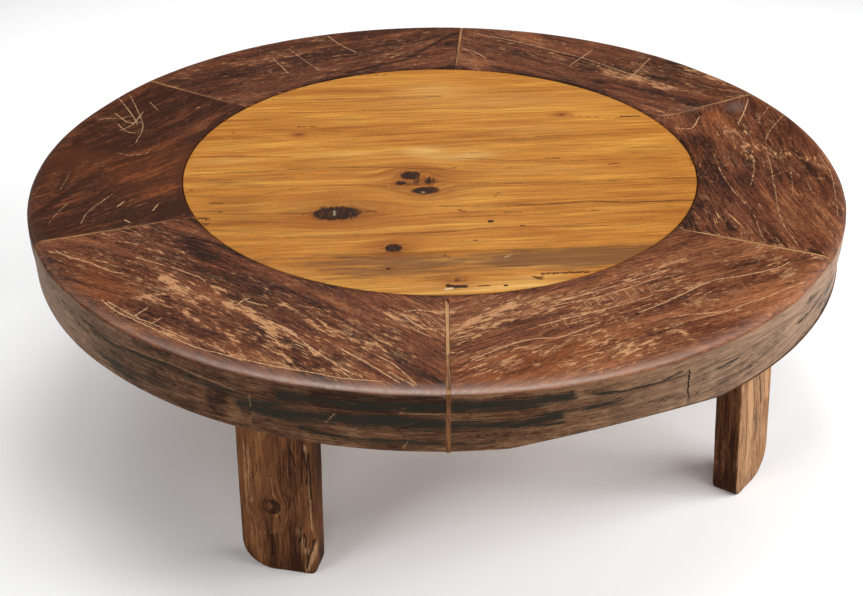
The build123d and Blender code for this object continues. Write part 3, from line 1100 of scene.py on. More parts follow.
tanLines = [
    (1.4, 0.7, (56, 251), (70, 257), (91, 263), (110, 271), (122, 273)),
    (1.4, 0.85, (136, 257), (150, 261), (163, 265)),
    (1.4, 0.85, (172, 267), (191, 274), (198, 276), (205, 281)),
    (1.5, 0.95, (102, 300), (116, 311), (131, 318), (154, 329), (186, 343), (205, 350), (216, 352)),
    (1.4, 0.8, (109, 302), (134, 316), (156, 325), (188, 339)), (1.5, 0.85, (134, 316), (147, 308)),
    (1.3, 0.6, (152, 323), (161, 318)),
    (1.5, 0.8, (216, 352), (234, 357), (261, 363), (280, 367), (316, 373), (342, 378), (382, 381)),
    (1.3, 0.8, (280, 326), (300, 339), (319, 353), (330, 360), (341, 365)),
    (1.4, 0.95, (342, 349), (356, 357), (369, 364), (387, 375), (399, 382)),
    (1.3, 0.65, (380, 357), (395, 365), (416, 384)), (1.3, 0.6, (390, 372), (402, 379), (413, 385)),
    (1.6, 0.95, (238, 304), (243, 300), (249, 298)), (1.3, 0.8, (243, 300), (252, 302), (262, 305)),
    (1.3, 0.8, (270, 322), (290, 330), (305, 343), (313, 353)),
    (1.4, 0.8, (401, 314), (410, 320), (422, 328), (437, 329)),
    (1.3, 0.7, (405, 311), (420, 310), (434, 312)), (1.3, 0.6, (408, 325), (422, 333), (436, 338)),
    (1.4, 0.8, (472, 360), (490, 352), (508, 345), (521, 341), (540, 338), (560, 337), (580, 330),
     (600, 322)),
    (1.3, 0.6, (450, 352), (457, 353), (463, 351)),
    (1.3, 0.75, (540, 309), (565, 303), (597, 297), (630, 287), (660, 277)),
    (1.3, 0.6, (560, 300), (600, 290), (640, 278), (665, 270)),
    (1.3, 0.75, (540, 325), (560, 320), (589, 313), (620, 305), (650, 296)),
    (1.3, 0.65, (671, 317), (690, 314), (724, 311), (745, 304), (771, 295), (805, 281)),
    (1.4, 0.8, (640, 312), (670, 300), (711, 281), (745, 275), (777, 268), (789, 262)),
    (1.3, 0.45, (660, 330), (700, 318), (740, 309)), (1.4, 0.8, (676, 128), (692, 128), (699, 117)),
    (1.2, 0.5, (783, 115), (769, 132), (766, 144), (771, 167), (775, 188), (781, 219), (798, 245)),
    (1.2, 0.45, (714, 154), (721, 171), (734, 191), (751, 209)),
    (1.2, 0.42, (806, 178), (813, 194), (823, 211), (835, 228)),
    (1.2, 0.45, (818, 152), (830, 171), (835, 191), (838, 215)),
    (1.2, 0.48, (754, 214), (761, 233), (768, 246)), (1.2, 0.42, (820, 222), (832, 234), (842, 243)),
    (1.2, 0.4, (790, 167), (792, 180), (793, 194)), (1.2, 0.42, (764, 228), (775, 240), (784, 246)),
    (1.2, 0.42, (772, 176), (790, 170), (800, 176)), (1.2, 0.42, (735, 118), (745, 126), (752, 138)),
    (1.2, 0.42, (757, 120), (765, 112), (772, 100)), (1.4, 0.5, (753, 156), (754, 170), (751, 184)),
    (1.4, 0.75, (748, 100), (744, 112), (738, 124)),
    (1.4, 0.6, (119, 98), (127, 108), (133, 116), (137, 124)),
    (1.2, 0.55, (130, 95), (138, 111), (143, 127), (136, 142)),
    (1.2, 0.55, (105, 118), (118, 118), (131, 116)), (1.2, 0.55, (150, 102), (158, 110)),
    (1.3, 0.75, (115, 113), (128, 122), (140, 122)), (1.3, 0.7, (121, 130), (133, 124), (143, 112)),
    (1.3, 0.7, (118, 124), (126, 131), (136, 133)),
    (1.2, 0.5, (118, 153), (132, 155), (146, 153), (150, 150)),
    (1.2, 0.52, (81, 223), (86, 214), (94, 207), (111, 195)), (1.2, 0.45, (49, 223), (57, 213), (67, 204)),
    (2, 0.95, (118, 206), (123, 202)), (1.4, 0.6, (153, 210), (158, 204)), (2, 0.8, (125, 220), (129, 222)),
    (1.2, 0.45, (60, 190), (66, 180), (70, 172)), (1.5, 0.7, (328, 36), (341, 45), (356, 52)),
    (1.4, 0.55, (273, 58), (281, 66), (288, 73)), (1.4, 0.55, (289, 49), (304, 60), (321, 71)),
    (1.4, 0.65, (474, 33), (519, 42), (583, 58), (630, 74), (678, 89)),
    (1.4, 0.6, (570, 65), (582, 57), (592, 50)), (1.4, 0.6, (627, 80), (638, 70), (650, 58)),
    (1.8, 0.6, (463, 49), (475, 52), (486, 58)),
]
darkLines = [
    (5.5, 0.75, (34, 215), (56, 201), (89, 178), (112, 163), (133, 158), (150, 154)),
    (6, 0.45, (77, 139), (75, 152), (73, 163), (59, 192)),
    (4, 0.45, (347, 73), (379, 65), (404, 60), (423, 50), (444, 38), (458, 33)),
    (14, 0.3, (455, 320), (480, 312), (505, 301), (530, 296)),
    (11, 0.32, (460, 347), (482, 338), (505, 329), (540, 318), (572, 312)),
    (26, 0.35, (690, 140), (712, 160), (722, 185), (712, 215)),
    (18, 0.28, (185, 235), (215, 262), (260, 284), (310, 297)),
    (12, 0.25, (630, 120), (665, 140), (690, 165)), (4, 0.8, (812, 250), (818, 253), (824, 256)),
    (10, 0.3, (200, 95), (225, 108), (215, 125)),
]
warmPatches = [
    # Middle in the frame, half sizes along and across the plan, turn, strength.
    ((165, 160), (0.06, 0.045), 60, 0.9), ((160, 185), (0.05, 0.04), 60, 0.6),
    ((60, 165), (0.05, 0.07), 80, 0.5), ((88, 160), (0.03, 0.05), 60, 0.6),
    ((95, 285), (0.08, 0.05), -45, 0.5), ((530, 362), (0.1, 0.035), 25, 0.6),
    ((720, 118), (0.03, 0.04), 0, 0.7), ((695, 150), (0.02, 0.04), 0, 0.5),
    ((790, 299), (0.05, 0.012), 35, 0.8), ((600, 345), (0.1, 0.02), 20, 0.35),
    ((734, 108), (0.035, 0.02), 60, -0.8), ((695, 109), (0.03, 0.012), 20, -0.7),
    ((755, 180), (0.1, 0.08), 90, -0.15),
]
ladderRails = [((585, 305), (660, 288), 13), ((552, 327), (578, 320), 5)]


def ladderTicks():
    # Short cross cuts beside the long cuts on the front right felloe.
    ticks = []
    for (x0, y0), (x1, y1), count in ladderRails:
        for k in range(count):
            share = (k + 0.28 * math.sin(k * 5.1)) / (count - 1)
            x, y = x0 + (x1 - x0) * share, y0 + (y1 - y0) * share
            short = 2.5 + 2.5 * math.sin(k * 2.3)
            strength = 0.50 + 0.10 * math.sin(k * 3.7)
            ticks.append((1, strength, (x - 3, y - 8 + short), (x + 4 - 0.5 * short, y + 2 - 0.4 * short)))
    return ticks


sideBands = [
    # Black streaks on the rim's side.
    (7, 1.0, (280, 396), (320, 402), (364, 406), (409, 409), (444, 408)),
    (8.5, 1.0, (449, 407), (480, 407), (520, 405), (570, 397)),
    (9, 1.0, (240, 404), (280, 414), (320, 419), (387, 423), (443, 426)),
    (6.5, 1.0, (450, 427), (490, 428), (530, 424), (560, 417)),
    (4, 0.9, (300, 430), (330, 437), (351, 441), (405, 445), (440, 446)),
    (2.6, 0.7, (451, 446), (475, 446), (494, 443)),
    (7, 0.8, (88, 330), (110, 343), (135, 354), (156, 362), (190, 378), (240, 396)),
    (4.5, 0.6, (60, 300), (80, 318), (100, 334)), (5, 0.6, (556, 413), (590, 408), (620, 400)),
    (2, 1.0, (600, 395), (628, 391), (660, 383), (683, 372)),
    (3, 0.5, (690, 388), (720, 376), (760, 356), (790, 336)),
    (3.5, 0.5, (700, 372), (735, 357), (775, 333), (812, 306)),
]
sidePale = [
    # Lighter streaks.
    (1.8, 0.8, (95, 334), (130, 349), (168, 363), (205, 379), (247, 395)),
    (2.8, 0.7, (400, 414), (440, 415.5), (480, 416), (520, 413)),
    (1.6, 0.7, (638, 381), (690, 367), (740, 348), (790, 322), (826, 296)),
    (2.4, 0.8, (415, 395), (440, 397), (470, 397), (500, 395), (530, 392)),
    (3, 0.6, (560, 392), (600, 386), (640, 376)), (1.6, 0.7, (325, 424), (334, 415)),
    (1.6, 0.8, (403, 450), (408, 443)), (1.4, 0.5, (383, 408), (396, 410), (409, 408)),
    (1.4, 0.5, (383, 428), (400, 428), (414, 424)), (2, 0.7, (683, 390), (689, 391), (694, 389)),
    (1.6, 0.6, (248, 396), (249, 409)), (5, 0.4, (640, 408), (690, 393), (740, 372), (790, 345)),
    (4, 0.4, (452, 436), (500, 436), (560, 428)),
]
sideCracks = [
    # Thin dark cracks.
    (2.6, 1.0, (690, 371), (690.8, 380), (689.6, 390), (690.5, 399)),
    (1.4, 0.8, (632, 390), (650, 386), (668, 381), (687, 375)),
    (1.2, 0.6, (700, 370), (740, 350), (775, 329), (812, 303)),
    (1.4, 0.7, (88, 330), (108, 341), (134, 353)), (1.2, 0.6, (60, 306), (76, 322), (92, 335)),
    (1.4, 0.7, (180, 372), (210, 385), (240, 392)), (1.2, 0.6, (262, 421), (300, 430), (350, 441)),
    (1.2, 0.6, (384, 412), (396, 416), (410, 413)), (1.2, 0.6, (388, 427), (400, 431), (414, 427)),
    (1.4, 0.7, (500, 400), (540, 397), (575, 391)), (1.2, 0.6, (470, 421), (520, 420), (566, 411)),
    (1.2, 0.6, (720, 382), (740, 373), (757, 366)), (1.4, 0.7, (744, 371), (756, 364), (760, 363)),
    (1.2, 0.6, (115, 352), (150, 372), (176, 386)), (1.2, 0.5, (300, 390), (350, 398), (400, 401)),
]


def sideFields(points, number):
    # On the rim's side everything runs round it: metres along, and height.
    radius = np.linalg.norm(points[:, :2], axis=1)
    azimuth = compass(points)
    round_ = stacked(np.radians(azimuth) * rim["radius"], points[:, 2])
    bands = [(1.2 * width, 0.70 * strength, *course) for width, strength, *course in sideBands]
    dark = strokes(round_, bands, onSide)
    pale = strokes(round_, sidePale, onSide)
    flow = stacked(round_[:, 0], round_[:, 1] * 6, np.zeros(len(points)))
    dark = np.maximum(dark, 0.55 * smoothStep(layeredNoise(flow, 0.09, 141), 0.25, 0.7))
    # Greyer on the left, and paler towards the right, where it is painted light from the lamps on that side.
    grey = smoothStep(-azimuth, 118, 158) * 0.8 + smoothStep(azimuth, -80, -45) * 0.8
    grain = stacked(round_[:, 0] + 3.1 * number + 40, radius * 0.05, points[:, 2])
    return grain, dark, pale, grey, hairlines(round_, sideCracks, onSide)


def rimFields(number, azimuth, layer):
    turn, bow, tintShift, warmShift, wearShift = grainLay[number]
    out = onCircle(1.0, azimuth + turn)
    alongAxis = np.array([-out[1], out[0]])
    middle = onCircle((rim["radius"] + rim["opening"]) / 2, azimuth)
    pith = upperFelloes["pith"][number - 1]

    def lay(plan):
        along = (plan - middle) @ alongAxis
        return along, (plan - middle) @ out - bow * along**2

    def fields(points, normals):
        plan = points[:, :2]
        along, across = lay(plan)
        depth = points[:, 2] - rim["top"]
        radius = np.linalg.norm(plan, axis=1)
        knots = []
        if layer == 0:
            for spot, long, wide, strength in rimKnots.get(number, []):
                knotAlong, knotAcross = lay(np.array(onTop([spot])))
                knots.append((knotAlong[0], knotAcross[0], long, wide, strength))
        warped, dark, halo = knotWarp(along, across, knots)
        ring = ringField(along, warped, depth, (pith, -0.07, 0.06, 0.02), 71 + number + 9 * layer)
        ring = ring + halo * 0.004
        grain = stacked(along + 3.1 * number, warped + 1.7 * number, depth + 0.9 * layer)
        figure = stacked(along, warped, depth + number)
        tint = figureTint(figure, (0.16, 0.030, 0.05), (0.06, 0.009, 0.03), 81)
        patch = layeredNoise(stacked(plan, points[:, 2]), (0.07, 0.07, 0.07), 91)
        topFace = smoothStep(normals[:, 2], 0.3, 0.8) * (1 - layer)
        side = (normals[:, 2] < 0.45) & (radius > 0.54) & (normals[:, 2] > -0.7)
        wear = (0.10 + wearShift + 0.45 * patch) * topFace
        gap, scratch = np.full(len(plan), 0.02), np.zeros(len(plan))
        warm = np.full(len(plan), float(warmShift))
        tint = tint + tintShift
        if layer == 0:
            gap, scratch = hairlines(plan, tanLines + ladderTicks(), onTop)
            scar = strokes(plan, tanScars, onTop)
            for worn, (azimuthIn, azimuthOut) in zip(seamWear, upperFelloes["joints"]):
                ends = onCircle(rim["opening"] - 0.01, azimuthIn), onCircle(rim["radius"] - 0.01, azimuthOut)
                seam = stroke(plan, ends, 0.0045)
                scar = np.maximum(scar, worn * seam)
                warm = warm + 0.5 * worn * seam
            wear = wear + scar * topFace
            for line in darkLines:
                mark = strokes(plan, [line], onTop) * topFace
                tint = tint - 1.6 * mark
                wear = wear - 0.6 * mark
                if line[0] < 5:  # only the thin ones are black
                    dark = np.maximum(dark, mark)
            for spot, half, lean, strength in warmPatches:
                warm = warm + strength * blob(plan, onTop([spot])[0], half, lean) * topFace
        # Painted shade along the edge of the opening, stronger towards the front left.
        opening = np.linalg.norm(plan - rim["openingCentre"], axis=1) - rim["opening"]
        inner = bell(np.maximum(opening, 0), 0.008) * (1 - layer)
        inner = inner * (0.45 + 0.55 * smoothStep(-plan[:, 0] - plan[:, 1], 0.0, 0.35))
        tint = tint - 0.9 * inner
        wear = wear - 0.4 * inner
        # A painted highlight where the side turns over into the top, strongest at the front; the finish there
        # is also smoother and less worn.
        paintedHighlight = bell(normals[:, 2] - 0.80, 0.15) * (1 - layer) * smoothStep(radius, 0.553, 0.562)
        heading = compass(plan)
        paintedHighlight = paintedHighlight * (0.10 + 0.90 * bell(heading + 93, 32))
        wear = wear - 0.9 * paintedHighlight
        sideGrain, sideDark, sidePaleness, grey, (crackGap, crack) = sideFields(points, number)
        grain = np.where(side[:, None], sideGrain, grain)
        ring = np.where(side, sideGrain[:, 2] * 0.6 + 0.02 * np.sin(sideGrain[:, 0] * 5), ring)
        dark = np.where(side, crack, dark)
        onStrip = bell(np.radians(heading - upperFelloes["joints"][0][1]), 0.006)
        band = np.where(side, sideDark * (1 - 0.75 * onStrip), 0.0)
        scratch = np.where(side, sidePaleness, scratch)
        gap = np.where(side, crackGap, gap)
        wear = np.where(side, -0.5, wear)
        # Painted shade on the side: a little all round, most at the front, and more towards the front left.
        paintedShade = 0.9 * bell(heading + 98, 14) + 0.15
        paintedShade = np.maximum(paintedShade, 0.5 * smoothStep(-heading, 96, 108) * smoothStep(heading, -142, -122))
        tint = np.where(side, tint - paintedShade, tint)
        warm = np.where(side, 0.0, warm)
        return {"grain": grain, "ring": ring, "tint": tint, "wear": wear, "dark": dark, "scratch": scratch,
                "gap": gap, "sheen": paintedHighlight, "warm": warm, "side": side.astype(float), "band": band,
                "grey": np.where(side, grey, 0.0)}

    return fields


panelKnots = [
    # Middle in the frame, half length, half width, strength.
    ((336.5, 212), 0.04, 0.025, 1.0), ((411, 174.5), 0.019, 0.017, 0.95),
    ((425, 188.5), 0.023, 0.0165, 1.0), ((401, 181), 0.011, 0.011, 0.75), ((418, 180), 0.026, 0.023, 0.42),
    ((430, 180), 0.011, 0.007, 0.62), ((393, 246.6), 0.016, 0.014, 0.85),
    ((388.5, 267.3), 0.005, 0.004, 0.7), ((457, 279), 0.013, 0.008, 0.42),
    ((561.6, 113.5), 0.008, 0.006, 0.35), ((298.6, 133.5), 0.006, 0.005, 0.5),
]
panelMarks = [
    # Dark marks between the knots.
    (5, 0.5, (408, 183), (416, 181), (420, 178)), (2.5, 0.6, (362, 211), (371, 210), (377, 211)),
    (2, 0.45, (376, 184.5), (388, 186), (399, 188)), (2.4, 0.55, (298, 126), (308, 125.5), (318, 126)),
    (7.5, 0.5, (201, 217), (206, 218)), (7.5, 0.45, (202, 223), (207, 223)),
    (2.2, 0.7, (210, 202), (221, 202)), (1.8, 0.7, (218, 211), (222, 211)),
    (1.8, 0.6, (189, 189), (193, 189)), (1.8, 0.5, (229, 132), (234, 132)),
    (4.5, 0.4, (368, 74), (377, 74), (386, 74)), (2.2, 0.85, (621, 115.5), (639, 115)),
    (1.7, 0.45, (556, 114), (590, 116), (621, 116)), (1.7, 0.55, (504, 211), (512, 210.6), (522, 211)),
    (1.6, 0.5, (591, 210), (600, 209)), (1.6, 0.7, (546, 157), (559, 157)),
    (1.6, 0.7, (609, 163), (620, 162)), (2.2, 0.5, (670, 152), (678, 153)),
    (1.8, 0.5, (508, 166), (512, 167)), (3.8, 1.0, (490, 220), (492, 220)),
    (1.8, 0.85, (520, 224.5), (524, 224.5)), (2, 0.7, (474, 239), (478, 239)),
    (1.8, 0.6, (458, 208), (463, 210), (467, 210)), (1.8, 0.45, (495, 195), (500, 191), (504, 190)),
    (1.6, 0.4, (508, 195), (511, 195)), (4.2, 0.9, (448, 284.5), (456, 285.5), (465, 285)),
    (1.6, 0.8, (479, 285), (490, 284)), (2.4, 0.8, (505, 284), (507, 284)),
    (1.6, 0.55, (382, 289), (386, 289)), (5.5, 0.55, (536, 276), (542, 276.5)),
    (4.2, 0.52, (542, 272.5), (565, 271.5), (588, 270.5)), (1.6, 0.6, (442, 255), (450, 256)),
    (4, 0.4, (690, 158), (694, 164)),
]
panelLines = [
    (1.6, 0.75, (505, 204), (549, 203), (588, 200), (623, 201), (660, 200), (697, 198.6)),
    (4.5, 0.35, (548, 203), (588, 201), (640, 201)), (1.4, 0.55, (440, 205), (470, 205), (505, 204)),
    (1.4, 0.5, (273, 99), (346, 97.5), (440, 95)), (4, 0.35, (320, 100), (350, 99), (400, 98), (440, 96)),
    (1.4, 0.45, (190, 156), (230, 155), (290, 156)),
    (1.6, 0.5, (188, 174.4), (263, 170), (362, 166), (440, 168), (456, 166)),
    (1.5, 0.45, (430, 181), (456, 181), (518, 182), (579, 180), (640, 178), (700, 176)),
    (4, 0.25, (456, 184), (518, 185), (579, 183), (700, 179)),
    (1.3, 0.4, (243, 197), (290, 188), (321, 184), (376, 184.5)),
    (1.3, 0.35, (210, 213), (260, 213), (310, 212)),
    (1.4, 0.4, (286, 236), (346, 234), (440, 231), (500, 226), (570, 225), (640, 223)),
    (1.4, 0.4, (535, 135.4), (570, 133.7), (661, 131)), (5, 0.25, (474, 141), (500, 140), (521, 141.6)),
    (1.3, 0.35, (190, 111), (250, 112), (330, 111), (420, 108), (520, 106)),
    (1.3, 0.3, (225, 120), (320, 118), (440, 120)), (6, 0.25, (190, 180), (230, 178), (290, 176)),
    (5, 0.3, (235, 137), (255, 136), (270, 137)),
    (1.3, 0.35, (460, 157), (540, 160), (620, 158), (690, 157)),
    (1.3, 0.3, (470, 152), (520, 149), (600, 147), (680, 145)),
    (1.3, 0.35, (430, 216), (500, 214), (560, 213)), (1.3, 0.3, (200, 228), (260, 232), (300, 231)),
]
panelTones = [
    # Middle in the frame, half sizes, turn, then how much greyer and how much paler.
    ((395, 268), (0.11, 0.03), 4, 0.75, -0.1), ((460, 258), (0.12, 0.018), 4, 0.3, 0.1),
    ((320, 258), (0.07, 0.018), 4, 0.5, -0.1), ((555, 258), (0.08, 0.02), 5, 0.6, -0.1),
    ((605, 253), (0.11, 0.022), 6, 1.6, -0.3), ((235, 212), (0.07, 0.09), 4, 0.35, -0.45),
    ((630, 205), (0.12, 0.04), 4, 0.1, -0.35), ((430, 88), (0.07, 0.03), 4, 0.0, 0.45),
    ((540, 128), (0.1, 0.03), 4, 0.0, 0.3), ((620, 160), (0.08, 0.03), 4, 0.0, -0.2),
    ((680, 185), (0.035, 0.08), 4, 0.2, -0.3), ((470, 283), (0.12, 0.01), 4, -0.6, 0.5),
    ((370, 256), (0.07, 0.01), 4, 0.6, -0.2), ((422, 150), (0.035, 0.018), 4, 0.5, 0.8),
    ((455, 157), (0.05, 0.012), 4, 0.2, 0.6), ((225, 160), (0.07, 0.014), 3, -0.1, 0.5),
    ((345, 153), (0.06, 0.01), 3, -0.1, 0.5), ((480, 152), (0.04, 0.014), 3, 0.1, 0.5),
    ((215, 182), (0.06, 0.016), 3, 0.5, -0.2), ((500, 287), (0.13, 0.006), 8, -1.2, 0.7),
    ((275, 268), (0.06, 0.01), -12, -0.6, 0.4), ((545, 190), (0.16, 0.014), 4, 0.1, -0.1),
    ((490, 100), (0.22, 0.045), 4, -0.1, 0.35), ((660, 190), (0.06, 0.02), 4, 0.1, 0.3),
    ((540, 275), (0.04, 0.01), 6, 0.0, 0.5), ((505, 140), (0.08, 0.016), 4, 0.35, -0.1),
    ((560, 168), (0.14, 0.016), 4, -0.2, 0.35), ((350, 120), (0.2, 0.022), 4, -0.1, 0.1),
]
paleFlecks = [
    (1, 0.5, (334, 209.5), (334.5, 214)), (1.2, 0.7, (422.5, 191), (424, 191)),
    (1.8, 0.8, (446, 288), (452, 287)), (0.9, 0.6, (505, 256), (514, 253)),
]


def toPanel(points):
    result = np.array(points, float)
    result[:, :2] -= rim["openingCentre"]
    return turned(result, -panel["direction"])


def panelFields(number):
    def fields(points, normals):
        along, across = toPanel(points)[:, :2].T
        plan = points[:, :2]
        depth = points[:, 2] - rim["panelTop"]
        dark, halo, warped = np.zeros(len(points)), np.zeros(len(points)), across
        for spot, long, wide, strength in panelKnots:
            middle = toPanel(np.array([[*onTop([spot])[0], 0]]))[0]
            warped, oneDark, oneHalo = knotWarp(along, warped, [(*middle[:2], long, wide, strength)])
            dark, halo = np.maximum(dark, oneDark), np.maximum(halo, oneHalo)
        dark = np.maximum(dark, strokes(plan, panelMarks, onTop))
        line = strokes(plan, [mark for mark in panelLines if mark[0] > 2], onTop)
        gap, hair = hairlines(plan, [mark for mark in panelLines if mark[0] < 2], onTop)
        grey = np.zeros(len(points))
        pale = np.zeros(len(points))
        for spot, half, lean, greyer, paler in panelTones:
            tone = blob(plan, onTop([spot])[0], half, lean)
            grey, pale = grey + greyer * tone, pale + paler * tone
        if number == 1:
            grey = grey + 0.15
        ring = ringField(along, warped, depth, (panel["pith"][number - 1], -0.10, 0.02, 0.03), 101 + number)
        grain = stacked(along + 2.3 * number, warped + 0.9 * number, depth)
        figure = stacked(along, warped, depth + number)
        tint = figureTint(figure, (0.26, 0.026, 0.05), (0.10, 0.007, 0.03), 111)
        return {"grain": grain, "ring": ring, "tint": tint, "dark": dark, "halo": halo, "line": line,
                "gap": gap, "hair": hair, "grey": grey, "pale": pale,
                "fleck": strokes(plan, paleFlecks, onTop)}

    return fields


def stripFields(number):
    # Bare wood in the middle of a strip where it's worn, and finish over the rest of it.
    azimuthIn, azimuthOut = upperFelloes["joints"][number - 1]
    starts, directions = jointLines(np.array([azimuthIn]), np.array([azimuthOut]))
    start, direction = starts[0], directions[0]
    beside = np.array([-direction[1], direction[0]])

    def fields(points, normals):
        along = (points[:, :2] - start) @ direction
        across = (points[:, :2] - start) @ beside
        worn = upperFelloes["stripWear"][number - 1]
        slim = 0.0017 if number == 1 else 0.0014
        core = smoothStep(-np.abs(across), -slim - 0.0006, -slim + 0.0004)
        bare, face = core * worn, np.clip(normals[:, 2], 0, 1)
        if number == 1:
            end = np.linalg.norm(np.array(onTop([(449, 353)])[0]) - start)
            faded = smoothStep(along, end - 0.003, end + 0.004)
            bare = bare * (1 - faded) + 0.30 * faded
            face = 0.25 + 0.75 * smoothStep(normals[:, 2], 0.3, 0.9)
            bare = np.maximum(bare, 0.8 * bell(normals[:, 2] - 0.80, 0.16))
        grain = stacked(along - points[:, 2], across, points[:, 2])
        tint = layeredNoise(grain, (0.05, 0.004, 0.05), 151 + number)
        return {"grain": grain, "ring": across * 2 + 0.01, "tint": tint, "bare": bare * face}

    return fields


def figureTint(figure, coarse, fine, seed):
    # Broad streaks along the grain, with finer ones over them.
    return layeredNoise(figure, coarse, seed) + 0.6 * layeredNoise(figure, fine, seed + 6)


def plainFields(axes, seed):
    # Grain along the first of three axes, each a function of the points.
    def fields(points, normals):
        along, across, depth = axes(points)
        ring = ringField(along, across, depth, (0.02, -0.05, 0.03, 0.02), seed)
        figure = stacked(along, across, depth + seed)
        tint = layeredNoise(figure, (0.12, 0.02, 0.02), seed + 3)
        return {"grain": stacked(along + seed, across, depth), "ring": ring, "tint": tint}

    return fields


legMarks = {
    # Leg: knots, dark lines and worn pale places, all as frame points on its wide outer face.
    "front_left": {
        "knots": [((270, 508), 0.017, 0.014, 0.4), ((272.5, 507), 0.0105, 0.0095, 1.0)],
        "eye": ((269.5, 506.5), 0.0042, 0.0034),
        "dark": [
            (1.6, 0.8, (302, 452), (305, 462), (307, 474), (306, 484)),
            (1.6, 0.7, (289, 449), (292, 456), (295, 466)), (2, 0.8, (308, 455), (310, 480), (311, 500)),
            (1, 0.45, (266, 476), (276, 479), (286, 488), (291, 500), (290, 507)),
            (1, 0.4, (276, 470), (286, 479), (292, 490)), (1.2, 0.55, (284, 494), (289, 502), (288, 510)),
            (1.4, 0.5, (253, 478), (256, 472), (256, 464)), (1, 0.45, (251, 508), (257, 515), (265, 522)),
            (1, 0.4, (250, 514), (258, 523), (265, 527)), (1, 0.4, (248, 516), (254, 523), (260, 528)),
            (2.2, 0.9, (314, 541), (312, 549), (309, 558), (307, 568)), (1.6, 0.7, (279, 516), (280, 522)),
            (1.8, 0.8, (300, 529), (301, 536), (300, 542)), (1.8, 0.8, (304, 534), (306, 541), (305, 547)),
            (2, 0.6, (272, 535), (273, 545), (272, 556)), (1.6, 0.6, (277, 533), (278, 550)),
            (1.6, 0.5, (264, 540), (265, 552)), (1.6, 0.5, (259, 536), (260, 548)),
        ],
        "pale": [
            (3, 0.45, (305, 447), (308, 475), (310, 505), (312, 530)),
            (5, 0.65, (315, 546), (312, 557), (308, 569)), (5.5, 0.45, (300, 532), (303, 542), (306, 552)),
            (5, 0.25, (253, 527), (262, 532), (272, 534), (281, 530)),
            (5, 0.2, (246, 506), (252, 518), (262, 529)), (5, 0.16, (268, 478), (280, 483), (288, 494)),
            (6, 0.35, (245, 445), (247, 475), (250, 500)),
        ],
        "darkSide": (0.002, 0.016, 0.32),
    },
    "front_right": {
        "knots": [],
        "dark": [
            (2, 0.7, (760, 374), (761, 390), (761, 402)), (1.6, 0.6, (754, 378), (755, 400), (754, 420)),
            (1.6, 0.6, (765, 372), (765, 392)), (1.6, 0.6, (748, 400), (747, 430), (745, 460)),
            (1.4, 0.5, (757, 410), (755, 440)), (1.4, 0.5, (751, 440), (748, 475)),
        ],
        "pale": [(6, 0.5, (752, 385), (751, 420), (748, 470)), (5, 0.5, (766, 370), (767, 395))],
        "darkSide": None,
    },
}


def legLocal(leg, points):
    foot = onCircle(rim["radius"] - leg["inset"], leg["azimuth"])
    away = turned(points - np.array([foot[0], foot[1], rim["underside"]]), -leg["facing"])
    splay = math.radians(leg["splay"])
    x = away[:, 0] * math.cos(splay) + away[:, 2] * math.sin(splay)
    z = away[:, 2] * math.cos(splay) - away[:, 0] * math.sin(splay)
    return stacked(x, away[:, 1], z)


def onLeg(framePoints, leg):
    # Carries frame points onto a leg's wide outer face, as metres up it and across it.
    half = plankLeg["thickness"] / 2
    onFace = np.array([[half, 0, 0], [half, 1, 0], [half, 0, 1]])
    corner, aside, above = (Vector(point) for point in legPoints(leg, onFace))
    normal = (aside - corner).cross(above - corner)
    course = []
    for x, y in framePoints:
        start, direction = sightLine(x, y)
        reach = (corner - start).dot(normal) / direction.dot(normal)
        spot = legLocal(leg, np.array([tuple(start + direction * reach)]))[0]
        course.append((spot[2], spot[1]))
    return course


def legFields(name, seed):
    leg, marks = legs[name], legMarks.get(name, {"knots": [], "dark": [], "pale": [], "darkSide": None})

    def place(framePoints):
        return onLeg(framePoints, leg)

    def fields(points, normals):
        local = legLocal(leg, points)
        depth, across, along = local.T
        face = stacked(along, across)
        front = smoothStep(depth, 0.004, 0.014)
        warped, dark, halo = across, np.zeros(len(points)), np.zeros(len(points))
        for spot, long, wide, strength in marks["knots"]:
            middle = place([spot])[0]
            warped, core, around = knotWarp(along, warped, [(*middle, long * 0.7, wide * 0.7, 0.3)])
            far = np.hypot((along - middle[0]) / long, (across - middle[1]) / wide)
            ring = bell(far - 1, 0.13)
            filled = smoothStep(-far, -1.15, -0.85) * smoothStep(across - middle[1], -1.4 * wide, 0.2 * wide)
            dark = np.maximum(dark, strength * (np.maximum(ring, filled) if strength > 0.9 else ring) * front)
            halo = np.maximum(halo, around * front)
        if "eye" in marks:
            spot, long, wide = marks["eye"]
            middle = place([spot])[0]
            dark = dark * (1 - 0.85 * blob(face, middle, (long, wide)))
        gap, hair = hairlines(face, marks["dark"], place)
        pale = front * strokes(face, marks["pale"], place)
        figure = stacked(along, warped, depth + seed)
        tint = layeredNoise(figure, (0.12, 0.012, 0.02), seed + 3) + 0.3
        if marks["darkSide"]:
            start, end, strength = marks["darkSide"]
            tint = tint - strength * smoothStep(across, start, end)
        if name == "front_right":
            # Painted light: one narrow face is painted darker as shade, and the wide one paler as lit.
            tint = tint - 0.7 * smoothStep(-normals @ legNormal(leg, 1), 0.5, 0.9)
            pale = pale + 0.5 * front * smoothStep(normals @ legNormal(leg, 0), 0.5, 0.9)
        foot = smoothStep(-along, 0.225, 0.268)
        tint = tint - 0.6 * foot
        ring = ringField(along, warped, depth, (0.02, -0.03, 0.03, 0.02), seed) + halo * 0.004
        grain = stacked(along + seed, warped, depth)
        return {"grain": grain, "ring": ring, "tint": tint, "dark": dark, "pale": pale, "gap": gap,
                "hair": hair * front}

    return fields


def legNormal(leg, axis):
    start, end = legPoints(leg, np.array([(0, 0, 0), np.eye(3)[axis]]))
    return end - start


# Materials.

